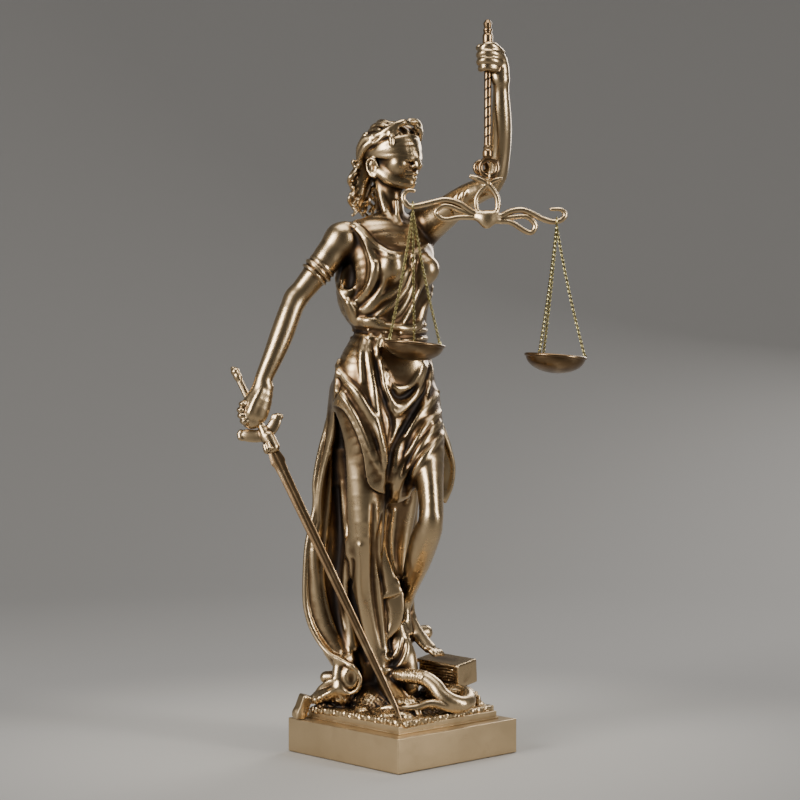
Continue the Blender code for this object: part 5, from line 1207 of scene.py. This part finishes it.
# Materials
class Look:
    """A material and short ways to wire its nodes."""

    def __init__(self, name):
        self.material = bpy.data.materials.new(name)
        self.material.use_nodes = True
        self.tree = self.material.node_tree
        self.shader = self.tree.nodes["Principled BSDF"]

    def node(self, kind, **settings):
        made = self.tree.nodes.new(kind)
        for key, value in settings.items():
            setattr(made, key, value)
        return made

    def put(self, value, socket):
        if hasattr(value, "is_output"):
            self.tree.links.new(value, socket)
        else:
            socket.default_value = value

    def math(self, operation, a, b=0.0, clamp=False):
        made = self.node("ShaderNodeMath", operation=operation, use_clamp=clamp)
        self.put(a, made.inputs[0])
        self.put(b, made.inputs[1])
        return made.outputs[0]

    def attribute(self, name):
        return self.node("ShaderNodeAttribute", attribute_name=name).outputs["Fac"]

    def noise(self, scale, detail=3.0, roughness=0.5):
        spot = self.node("ShaderNodeTexCoord").outputs["Object"]
        made = self.node("ShaderNodeTexNoise")
        made.inputs["Scale"].default_value = scale
        made.inputs["Detail"].default_value = detail
        made.inputs["Roughness"].default_value = roughness
        self.tree.links.new(spot, made.inputs["Vector"])
        return made.outputs["Fac"]

    def ramp(self, value, stops):
        made = self.node("ShaderNodeValToRGB")
        ramp = made.color_ramp
        while len(ramp.elements) < len(stops):
            ramp.elements.new(0.5)
        for element, (place, colour) in zip(ramp.elements, stops):
            element.position = place
            element.color = (*colour, 1) if len(colour) == 3 else colour
        self.put(value, made.inputs["Fac"])
        return made.outputs["Color"]

    def span(self, value, low, high, to_low=0.0, to_high=1.0):
        made = self.node("ShaderNodeMapRange", interpolation_type="SMOOTHSTEP")
        self.put(value, made.inputs["Value"])
        made.inputs["From Min"].default_value = low
        made.inputs["From Max"].default_value = high
        made.inputs["To Min"].default_value = to_low
        made.inputs["To Max"].default_value = to_high
        return made.outputs["Result"]

    def bump(self, height, strength, distance):
        made = self.node("ShaderNodeBump")
        made.inputs["Strength"].default_value = strength
        made.inputs["Distance"].default_value = distance
        self.put(height, made.inputs["Height"])
        self.tree.links.new(made.outputs["Normal"], self.shader.inputs["Normal"])


def bronze(name, lightness=1.0):
    """Antique bronze: near-black brown in the folds, mid brown, pale gold where it is rubbed; the dark in
    the folds and broad hollows is patina and also painted shade.
    """
    look = Look(name)
    # crease, hollow and deep say how enclosed each point lies; enclosed places are darkened, as patina and
    # as painted shade
    crease = look.math("MULTIPLY", look.attribute("crease"), 1.5)
    hollow = look.math("MULTIPLY", look.attribute("hollow"), 1.7)
    deep = look.math("MULTIPLY", look.attribute("deep"), 1.0)
    patina_and_painted_shade = look.math("ADD", look.math("ADD", crease, hollow), deep)
    mottle = look.math("MULTIPLY", look.math("SUBTRACT", look.noise(95.0, 4.0), 0.5), 0.32)
    patina_and_painted_shade = look.math("ADD", patina_and_painted_shade, mottle)
    tone = look.span(patina_and_painted_shade, -0.55, 0.75)
    # near-black where the clay is most enclosed: patina together with painted shade
    dark = (0.010, 0.006, 0.004)
    brown = (0.072 * lightness, 0.042 * lightness, 0.022 * lightness)
    mid = (0.19 * lightness, 0.124 * lightness, 0.066 * lightness)
    gold = (0.49 * lightness, 0.365 * lightness, 0.215 * lightness)
    colour = look.ramp(tone, [(0.0, gold), (0.20, gold), (0.38, mid), (0.60, brown), (0.80, dark)])
    look.put(colour, look.shader.inputs["Base Color"])
    look.put(look.span(tone, 0.5, 0.95, 1.0, 0.7), look.shader.inputs["Metallic"])
    blotch = look.math("MULTIPLY", look.noise(60.0, 5.0, 0.6), 0.12)
    rough = look.math("ADD", look.span(tone, 0.3, 0.85, 0.22, 0.46), blotch)
    look.put(rough, look.shader.inputs["Roughness"])
    look.bump(look.noise(900.0, 4.0, 0.6), 0.25, 0.00012)
    return look.material


def satin(name):
    """The plinth's duller bronze, mottled, with rubbed edges."""
    look = Look(name)
    mottle = look.math("ADD", look.noise(22.0, 5.0, 0.65),
                       look.math("MULTIPLY", look.noise(160.0, 4.0), 0.5))
    edge = look.math("MULTIPLY", look.attribute("crease"), -2.2)
    tone = look.span(look.math("ADD", mottle, edge), 0.45, 1.25)
    colour = look.ramp(tone, [(0.0, (0.050, 0.031, 0.015)), (0.4, (0.098, 0.064, 0.033)),
                       (0.7, (0.14, 0.095, 0.052)), (1.0, (0.52, 0.39, 0.23))])
    look.put(colour, look.shader.inputs["Base Color"])
    look.shader.inputs["Metallic"].default_value = 1.0
    look.put(look.span(mottle, 0.5, 1.1, 0.46, 0.3), look.shader.inputs["Roughness"])
    look.bump(look.noise(420.0, 5.0, 0.6), 0.35, 0.0002)
    return look.material


def olive(name):
    look = Look(name)
    tone = look.noise(700.0, 3.0)
    colour = look.ramp(tone, [(0.3, (0.16, 0.13, 0.05)), (0.55, (0.40, 0.35, 0.15)),
                       (0.75, (0.62, 0.56, 0.28))])
    look.put(colour, look.shader.inputs["Base Color"])
    look.shader.inputs["Metallic"].default_value = 1.0
    look.shader.inputs["Roughness"].default_value = 0.32
    return look.material


# Small metalwork
def mesh_piece(name, points, faces, look, smooth=True):
    """An object of points in the viewer's frame, in metres."""
    turn = np.array(Matrix.Rotation(VIEW_TURN, 3, "Z"))
    mesh = bpy.data.meshes.new(name)
    mesh.from_pydata((np.asarray(points, float) @ turn.T).tolist(), [], faces)
    work = bmesh.new()
    work.from_mesh(mesh)
    bmesh.ops.recalc_face_normals(work, faces=work.faces)
    work.to_mesh(mesh)
    work.free()
    if smooth:
        mesh.shade_smooth()
        mesh.set_sharp_from_angle(angle=math.radians(40))
    mesh.materials.append(look)
    made = bpy.data.objects.new(name, mesh)
    bpy.context.scene.collection.objects.link(made)
    return made


def ring_faces(rings, around, closed=False, caps=True):
    """Quads between rings of points, each with around points."""
    faces = []
    for i in range(rings if closed else rings - 1):
        for j in range(around):
            k = (j + 1) % around
            n = (i + 1) % rings
            faces.append((i * around + j, i * around + k, n * around + k, n * around + j))
    if caps and not closed:
        faces.append(tuple(reversed(range(around))))
        faces.append(tuple(range((rings - 1) * around, rings * around)))
    return faces


def clay_piece(name, clay, look):
    # hollow shares that the bronze darkens by, as patina and as painted shade
    share = [(solid_share(clay.field, clay.voxel, radius), clay.low, clay.voxel) for radius in (3.0, 7.0)]
    return piece_of(name, skinned(clay, share), look)


# Plinth
def make_plinth(look):
    """Two square tiers with rounded edges, and a lip between them."""
    low, top = PLINTH_WIDTH / 2, TIER_WIDTH / 2
    for name, half, foot, head, bevel in (
        ("plinth_block", low, 0.0, PLINTH_HEIGHT, EDGE * 1.3),
        ("plinth_tier", top, PLINTH_HEIGHT, PLINTH_TOP, EDGE),
        ("plinth_lip", top + EDGE * 1.3, PLINTH_HEIGHT, PLINTH_HEIGHT + 2 * EDGE, EDGE * 0.6),
    ):
        mesh = bpy.data.meshes.new(name)
        work = bmesh.new()
        bmesh.ops.create_cube(work, size=1.0)
        bmesh.ops.scale(work, vec=(2 * half, 2 * half, head - foot), verts=work.verts)
        bmesh.ops.translate(work, vec=(0, 0, (head + foot) / 2), verts=work.verts)
        bmesh.ops.bevel(work, geom=list(work.edges), offset=bevel, segments=4, profile=0.6, affect="EDGES")
        # how rounded each point is, for the worn edges
        work.to_mesh(mesh)
        work.free()
        values = []
        for vertex in mesh.vertices:
            off = [half - abs(vertex.co.x), half - abs(vertex.co.y),
                   min(head - vertex.co.z, vertex.co.z - foot)]
            close = sum(1 for value in off if value < bevel * 1.05)
            values.append(-0.3 if close >= 2 else 0.0)
        attribute = mesh.attributes.new("crease", "FLOAT", "POINT")
        attribute.data.foreach_set("value", values)
        mesh.shade_smooth()
        mesh.set_sharp_from_angle(angle=math.radians(60))
        mesh.materials.append(look)
        made = bpy.data.objects.new(name, mesh)
        bpy.context.scene.collection.objects.link(made)
        rides(made, "plinth")


# Sword
def make_sword(look, blade_look):
    top, tip = np.array(place(*SWORD_TOP)), np.array(place(*SWORD_TIP))
    along = tip - top
    length = float(np.linalg.norm(along))
    along /= length
    side = np.cross(along, (0, 1, 0))
    side /= np.linalg.norm(side)
    front = np.cross(along, side)
    guard_at = 0.187 * length
    blade_from = guard_at + 8 * SHARE
    lift = np.array([0, 0, PLINTH_TOP - GROUND * SHARE])

    def spot(shares, across=0.0, out=0.0):
        """A real point in shares: along the sword from the guard, across it and out of it."""
        metres = top + along * (guard_at + shares * SHARE) - lift
        return metres / SHARE + side * across + front * out

    def limb(rows, way, blend, pace=1.5, cut=False):
        clay.work(Limb([(*spot(down, across, out), wide, deep) for down, across, out, wide, deep in rows],
                       tuple(way), blend, cut, pace))

    clay = Clay((-195, -75, 285), (-105, -5, 400), 0.5)
    grip = GRIP_RADIUS / SHARE
    head = -guard_at / SHARE
    # pommel with its collar, and the grip with flutes along it
    clay.work(Ball(spot(head + 0.5), 4.5, None, 0.8))
    clay.work(Ball(spot(head - 3.6, -1.0), 2.2, None, 1.5))
    limb([(head + 5.0, 0, 0, 4.2, 4.2), (head + 6.2, 0, 0, 4.2, 4.2)], side, 0.8)
    limb([(head + 7, 0, 0, 2.9, 2.9), (head + 12, 0, 0, grip * 0.94, grip * 0.94),
          (-8, 0, 0, grip, grip)], side, 0.8)
    for n in range(8):
        angle = 2 * math.pi * (n + 0.5) / 8
        c, s = (grip + 0.35) * math.cos(angle), (grip + 0.35) * math.sin(angle)
        limb([(head + 11, 0.9 * c, 0.9 * s, 0.6, 0.6), (-10, c, s, 0.6, 0.6)], side, 0.5, 3, True)
    limb([(-7, 0, 0, 3.8, 3.8), (-2, 0, 0, 5.2, 5.0), (4, 0, 0, 5.8, 5.4), (8, 0, 0, 5.2, 5.0)], side, 1.5)
    # wings of the guard: each a plate with a raised rim, its panel sunken
    for wing in GUARD_WINGS:
        limb([(down, across, 0, radius + 0.6, 0.5 * radius) for down, across, radius in wing], along, 1.5)
        inner = [(down, across, -0.5 * radius - 0.6, radius - 1.7, 1.1)
                 for down, across, radius in wing[1:]]
        limb([(inner[0][0] * 0.8, inner[0][1] * 0.8, *inner[0][2:]), *inner], along, 0.5, 1.5, True)
    limb([(-13, -20.5, -1, 3.2, 3.0), (-12, -22.5, -1, 3.0, 3.0)], along, 1.0)
    limb([(-8.5, -23.5, 0, 2.6, 2.6), (-7, -22.5, 0, 2.4, 2.4)], along, 1.5)
    limb([(-11.5, 18, -1, 3.4, 3.4), (-10, 20.5, -1, 3.2, 3.2)], along, 1.0)
    limb([(-13.5, 15.5, -1, 2.0, 2.4), (-12.5, 13, -1, 1.4, 2.0)], along, 0.8)
    # crossed leaves over the middle
    for n in range(5):
        low, lean = -13 + 5.0 * n, 3.4
        for way in (-1, 1):
            limb([(low, way * lean, -4.4, 0.5, 0.5), (low + 3.5, way * 0.6, -6.4, 1.5, 1.0),
                  (low + 7.5, -way * lean, -5.6, 0.7, 0.7)], side, 0.4)
    # ringed collar at the right, leafy rim at the left over the blade's root
    for n in range(4):
        limb([(2.5 + 3.6 * n, 1.5, 0, 6.6, 5.8), (3.7 + 3.6 * n, 1.5, 0, 6.6, 5.8)], side, 0.5)
    for n in range(7):
        angle = math.pi * (0.55 + 0.95 * n / 6)
        across, out = 6.6 * math.cos(angle), -6.0 * math.sin(angle)
        limb([(9, 0.9 * across, 0.9 * out, 1.4, 1.4), (14.5, across, out, 2.0, 2.0),
              (16.5, across, out, 1.2, 1.2)], side, 0.5)
    hilt = clay_piece("sword_hilt", clay, look)
    rides(hilt, "sword")

    half = BLADE_WIDTH / 2
    thick = BLADE_THICKNESS / 2
    rings = []
    notch = blade_from + 20 * SHARE
    for distance, wide in ((blade_from, 1.05), (notch - 8 * SHARE, 1.2), (notch, 1.52),
                           (notch + 2 * SHARE, 1.5), (notch + 5 * SHARE, 1.25),
                           (notch + 14 * SHARE, 1.12), (length * 0.5, 0.98), (length * 0.62, 0.9),
                           (length * 0.85, 0.72), (length * 0.96, 0.5), (length * 0.99, 0.24),
                           (length, 0.08)):
        centre = top + along * distance
        w = half * wide
        d = thick * min(1.0, wide + 0.1)
        rings.append([centre + side * w * a + front * d * b for a, b in (
            (1.0, 0.0), (0.92, 0.16), (0.3, 0.72), (0.16, 0.62), (-0.16, 0.62), (-0.3, 0.72),
            (-0.92, 0.16), (-1.0, 0.0), (-0.92, -0.16), (-0.3, -0.72), (-0.16, -0.62), (0.16, -0.62),
            (0.3, -0.72), (0.92, -0.16)
        )])
    around = len(rings[0])
    blade = mesh_piece("sword_blade", np.concatenate(rings), ring_faces(len(rings), around), blade_look)
    rides(blade, "sword")


# Rod and beam
GROOVE_PITCH = 9.5


def make_rod(look):
    """The rod with a fine groove wound round it, and the two rings at its foot."""
    around = 36
    scale = ROD_RADIUS / ROD_SHAFT
    shaft_top, shaft_foot = 680.0, 608.0
    levels = []
    for (z0, r0), (z1, r1) in zip(ROD_LEVELS[:-1], ROD_LEVELS[1:]):
        parts = max(3, int((z0 - z1) / 0.8))
        levels += [(z0 + (z1 - z0) * i / parts, r0 + (r1 - r0) * i / parts) for i in range(parts)]
    levels.append(ROD_LEVELS[-1])
    rings, grooves = [], []
    angles = 2 * np.pi * np.arange(around) / around
    for z, radius in reversed(levels):
        centre = np.array(place(ROD_X, BALANCE_Y, z))
        off = np.abs((angles / (2 * np.pi) - z / GROOVE_PITCH + 0.5) % 1 - 0.5) * GROOVE_PITCH
        groove = np.clip(1 - off / 0.9, 0, 1) * (shaft_foot < z < shaft_top)
        size = (radius - 0.45 * groove) * scale
        rings.append(centre + np.column_stack([np.cos(angles) * size, np.sin(angles) * size,
                                               np.zeros(around)]))
        grooves.append(groove)
    rod = mesh_piece("rod_shaft", np.concatenate(rings), ring_faces(len(rings), around), look)
    # the groove's crease layer darkens it in the bronze: patina and painted shade in the groove
    attribute = rod.data.attributes.new("crease", "FLOAT", "POINT")
    attribute.data.foreach_set("value", (0.5 * np.concatenate(grooves)).astype(np.float32))
    rides(rod, "balance_rod")
    ring = ring_piece("rod_ring", place(RING_X, BALANCE_Y, RING_Z), (0, 1, 0),
                      RING_MAJOR * SHARE, RING_MINOR * SHARE, look)
    rides(ring, "balance_rod")
    x, behind, major, minor = BACK_RING
    back = ring_piece("rod_back_ring", place(x, BALANCE_Y + behind, RING_Z), (0, 1, 0), major * SHARE,
                      minor * SHARE, look)
    rides(back, "balance_rod")
    start = np.array(place(ROD_X, BALANCE_Y + 1, 597))
    end = np.array(place(x + 1, BALANCE_Y + behind, RING_Z + major))
    turn = np.array(Vector(end - start).to_track_quat("Z", "Y").to_matrix())
    circle = np.column_stack([np.cos(angles), np.sin(angles), np.zeros(around)]) * 0.8 * minor * SHARE
    link = mesh_piece("rod_ring_link", np.concatenate([circle @ turn.T + start, circle @ turn.T + end]),
                      ring_faces(2, around), look)
    rides(link, "balance_rod")


def ring_points(centre, axis, major, minor, around=40, section=14):
    turn = np.array(Vector(axis).to_track_quat("Z", "Y").to_matrix())
    a = 2 * np.pi * np.arange(around)[:, None] / around
    b = 2 * np.pi * np.arange(section)[None, :] / section
    r = major + minor * np.cos(b)
    local = np.stack([r * np.cos(a), r * np.sin(a), minor * np.sin(b) + 0 * a], axis=-1).reshape(-1, 3)
    return np.array(centre) + local @ turn.T


def ring_piece(name, centre, axis, major, minor, look, around=40, section=14):
    points = ring_points(centre, axis, major, minor, around, section)
    return mesh_piece(name, points, ring_faces(around, section, closed=True), look)


def make_beam(look):
    clay = Clay((-10, BALANCE_Y - 15, 500), (170, BALANCE_Y + 15, 585), 0.6)
    size = BEAM_RADIUS / SHARE
    for points, share in BEAM_CURVES:
        rows = smooth_rows([(x, BALANCE_Y, z, size * share) for x, z in points], 3.0)
        t = np.linspace(0, 1, len(rows))
        rows[:, 3] *= np.interp(t, (0, 0.12, 0.75, 1), (0.62, 1.05, 1.0, 0.6))
        clay.work(Limb(seen_rows(rows), blend=0.6, pace=3))
    eye = seen(RING_X, BALANCE_Y, RING_Z - 9.7)
    loop = []
    for t in np.linspace(0, 2 * math.pi, 25):
        loop.append((eye[0], eye[1] + 6.3 * math.sin(t), eye[2] + 6.3 * math.cos(t), 1.0))
    clay.work(Limb(loop, blend=0.4, pace=1.5))
    clay.work(Ball(seen(85.5, BALANCE_Y - 1, 534), (12, 4.6, 7), None, 3))
    clay.work(Ball(seen(84.5, BALANCE_Y - 1, 531), (7, 4.6, 8), None, 3))
    beam = clay_piece("beam", clay, look)
    rides(beam, "balance_beam")


# Pans and chains
LINK_PITCH = 0.0019
LINK_WIRE = 0.00037
LINK_WIDTH = 0.0019
CHAIN_SAG = 0.0013


def make_pan(side, centre_at, tilt, look):
    centre = np.array(place(centre_at[0], BALANCE_Y, centre_at[1]))
    outer, depth, wall = PAN_RADIUS, PAN_DEPTH, PAN_WALL
    arc = [math.radians(a) for a in np.linspace(4, 84, 22)]
    inner = [((outer - wall) * math.cos(a), -(depth - wall) * math.sin(a)) for a in reversed(arc)]
    rim = []
    for a in np.radians(np.linspace(200, -80, 14)):
        rim.append((outer + wall * 0.05 + wall * 0.95 * math.cos(a),
                   wall * 0.35 + wall * 0.95 * math.sin(a)))
    under = [(outer * math.cos(a), -depth * math.sin(a)) for a in arc]
    line = [(0.0001, -depth + wall), *inner, *rim, *under, (0.0001, -depth)]
    steps = 72
    turn = np.array(Matrix.Rotation(math.radians(tilt), 3, "Y"))
    rings = []
    for x, z in line:
        a = 2 * np.pi * np.arange(steps) / steps
        rings.append(np.column_stack([x * np.cos(a), x * np.sin(a), np.full(steps, z)]) @ turn.T + centre)
    faces = ring_faces(len(rings), steps)
    pan = mesh_piece(side + "_pan_bowl", np.concatenate(rings), faces, look)
    rides(pan, side + "_pan")


def link_points(long, wide, wire, section=6, bend=5):
    """A chain link lying along Z, flat in X: a stadium of wire."""
    path = []
    straight = (long - wide) / 2
    for end in (1, -1):
        for i in range(bend):
            a = math.pi * i / (bend - 1) + (0 if end == 1 else math.pi)
            path.append((wide / 2 * math.cos(a), end * straight + wide / 2 * math.sin(a),
                         math.cos(a), math.sin(a)))
    points = []
    for x, z, nx, nz in path:
        for j in range(section):
            b = 2 * math.pi * j / section
            points.append((x + wire * math.cos(b) * nx, wire * math.sin(b), z + wire * math.cos(b) * nz))
    return np.array(points), ring_faces(len(path), section, closed=True)


def chain(start, end, middle_at, spin):
    """Points and faces of a chain of links between two places, bowed a little toward middle_at."""
    start, end = np.array(start, float), np.array(end, float)
    inward = np.array([middle_at[0] - end[0], middle_at[1] - end[1], 0.0])
    inward *= CHAIN_SAG / np.linalg.norm(inward)
    length = float(np.linalg.norm(end - start))
    count = int(round(length / LINK_PITCH))
    base, faces = link_points(LINK_PITCH + 3.2 * LINK_WIRE, LINK_WIDTH, LINK_WIRE)
    points, all_faces = [], []
    for i in range(count):
        t = (i + 0.5) / count
        middle = start + (end - start) * t + inward * 4 * t * (1 - t)
        way = end - start + inward * 4 * (1 - 2 * t)
        turn = np.array(Vector(way).to_track_quat("Z", "Y").to_matrix())
        roll = np.array(Matrix.Rotation(spin + math.radians(90) * i, 3, "Z"))
        offset = len(points) * len(base)
        points.append(base @ roll.T @ turn.T + middle)
        all_faces += [tuple(v + offset for v in face) for face in faces]
    return np.concatenate(points), all_faces


def join(parts):
    points, faces, offset = [], [], 0
    for some, their_faces in parts:
        points.append(some)
        faces += [tuple(v + offset for v in face) for face in their_faces]
        offset += len(some)
    return np.concatenate(points), faces


def make_chains(side, bar_at, pan_at, angles, tilt, look):
    bar = np.array(place(bar_at[0], BALANCE_Y, bar_at[1]))
    low = bar - (0, 0, RING_RADIUS)
    middle = low + (0, 0, RING_RADIUS * 0.95)
    parts = [(ring_points(middle, (1, 0, 0), RING_RADIUS, RING_WIRE, 24, 8),
             ring_faces(24, 8, closed=True))]
    knot = low - (0, 0, RING_WIRE * 1.2)
    centre = np.array(place(pan_at[0], BALANCE_Y, pan_at[1]))
    turn = np.array(Matrix.Rotation(math.radians(tilt), 3, "Y"))
    for degrees in angles:
        angle = math.radians(degrees)
        rim = np.array([math.cos(angle), -math.sin(angle), 0]) * (PAN_RADIUS - PAN_WALL * 0.5)
        foot = centre + turn @ (rim + (0, 0, PAN_WALL * RIM_LIFT + CLEARANCE))
        parts.append(chain(knot, foot, centre, math.radians(45)))
        eye = foot + (0, 0, -0.0002)
        across = (-rim[1], rim[0], 0)
        parts.append((ring_points(eye, across, 0.0013, LINK_WIRE, 14, 6), ring_faces(14, 6, closed=True)))
    points, faces = join(parts)
    made = mesh_piece(side + "_chain_links", points, faces, look)
    rides(made, side + "_chains")


# Stage, camera and lights
CAMERA_DISTANCE = 1.558
CAMERA_HEIGHT = 0.300
CAMERA_ASIDE = -0.0019
LENS = 82.125
FLOOR_RADIUS = 1.3
CURVE = 1.3
WALL_TOP = 3.2
FLOOR_COLOUR = (0.36, 0.35, 0.33)
DIM_SHARE = 0.2
LIGHT_AIM = (0, 0, 0.32)
DIM_TURN = 0.5
WALL_COLOUR = (0.20, 0.197, 0.192)


def make_stage():
    """A round floor that curves up into a plain wall."""
    profile = [(0.0, 0.0), (0.4, 0.0), (0.9, 0.0), (FLOOR_RADIUS, 0.0)]
    profile += [(FLOOR_RADIUS + CURVE * math.sin(a), CURVE * (1 - math.cos(a)))
                for a in np.radians(range(6, 91, 6))]
    profile.append((FLOOR_RADIUS + CURVE, WALL_TOP))
    around = 96
    angles = 2 * np.pi * np.arange(around) / around
    points = [(r * math.cos(a), r * math.sin(a), z) for r, z in profile[1:] for a in angles]
    faces = [tuple(reversed(range(around)))] + ring_faces(len(profile) - 1, around, caps=False)
    mesh = bpy.data.meshes.new("bowl")
    mesh.from_pydata(points, [], faces)
    mesh.shade_smooth()
    bowl = bpy.data.objects.new("bowl", mesh)
    bowl.location.z = -0.0004
    bpy.context.scene.collection.objects.link(bowl)
    look = Look("floor_pale")
    spot = look.node("ShaderNodeTexCoord").outputs["Object"]
    far = look.node("ShaderNodeVectorMath", operation="LENGTH")
    look.tree.links.new(spot, far.inputs[0])
    colour = look.ramp(look.span(far.outputs["Value"], 0.12, 0.55),
                       [(0.0, FLOOR_COLOUR), (1.0, WALL_COLOUR)])
    # darker on the side the light comes from, so that the metal has something dark to mirror
    ahead = look.node("ShaderNodeVectorMath", operation="DOT_PRODUCT")
    look.tree.links.new(spot, ahead.inputs[0])
    bright_way = VIEW_TURN + DIM_TURN
    ahead.inputs[1].default_value = (-math.sin(bright_way), math.cos(bright_way), 0)
    dimmed = look.node("ShaderNodeVectorMath", operation="SCALE")
    look.tree.links.new(colour, dimmed.inputs[0])
    look.put(look.span(ahead.outputs["Value"], -1.5, 0.5, DIM_SHARE, 1.0), dimmed.inputs["Scale"])
    look.put(dimmed.outputs["Vector"], look.shader.inputs["Base Color"])
    look.shader.inputs["Roughness"].default_value = 0.85
    mesh.materials.append(look.material)

    world = bpy.data.worlds.new("studio")
    world.use_nodes = True
    world.node_tree.nodes["Background"].inputs["Color"].default_value = (0.14, 0.14, 0.14, 1)
    world.node_tree.nodes["Background"].inputs["Strength"].default_value = 1.0
    bpy.context.scene.world = world


def make_light(name, at, size, power):
    """A soft panel; its place is in the viewer's frame."""
    turn = Matrix.Rotation(VIEW_TURN, 3, "Z")
    data = bpy.data.lights.new(name, "AREA")
    data.shape = "RECTANGLE"
    data.size, data.size_y = size
    data.energy = power
    data.color = (1.0, 0.97, 0.93)
    made = bpy.data.objects.new(name, data)
    made.location = turn @ Vector(at)
    made.rotation_euler = (turn @ (Vector(LIGHT_AIM) - Vector(at))).to_track_quat("-Z", "Y").to_euler()
    bpy.context.scene.collection.objects.link(made)


def make_camera():
    turn = Matrix.Rotation(VIEW_TURN, 3, "Z")
    data = bpy.data.cameras.new("camera")
    data.lens = LENS
    data.sensor_width = 36.0
    data.clip_start = 0.01
    made = bpy.data.objects.new("camera", data)
    made.location = turn @ Vector((CAMERA_ASIDE, -CAMERA_DISTANCE, CAMERA_HEIGHT))
    made.rotation_euler = (math.pi / 2, 0, VIEW_TURN)
    bpy.context.scene.collection.objects.link(made)
    bpy.context.scene.camera = made


def main():
    rich = bronze("antique_bronze")
    rubbed = bronze("rubbed_bronze", 1.4)
    make_camera()
    make_stage()
    make_light("key_left", (-1.5, -1.3, 1.0), (0.8, 1.2), 60)
    make_light("key_right", (1.6, -0.9, 0.8), (0.4, 1.2), 33)
    make_light("top", (0.1, -0.2, 2.2), (1.4, 1.4), 35)
    make_light("rim", (0.9, 1.6, 1.2), (0.7, 1.2), 20)
    make_figure(rich)
    make_plinth(satin("satin_bronze"))
    make_sword(rich, rubbed)
    make_rod(rubbed)
    make_beam(rubbed)
    brass = olive("olive_brass")
    for side, bar, pan, angles, tilt in PANS:
        make_pan(side, pan, tilt, rich)
        make_chains(side, bar, pan, angles, tilt, brass)


main()
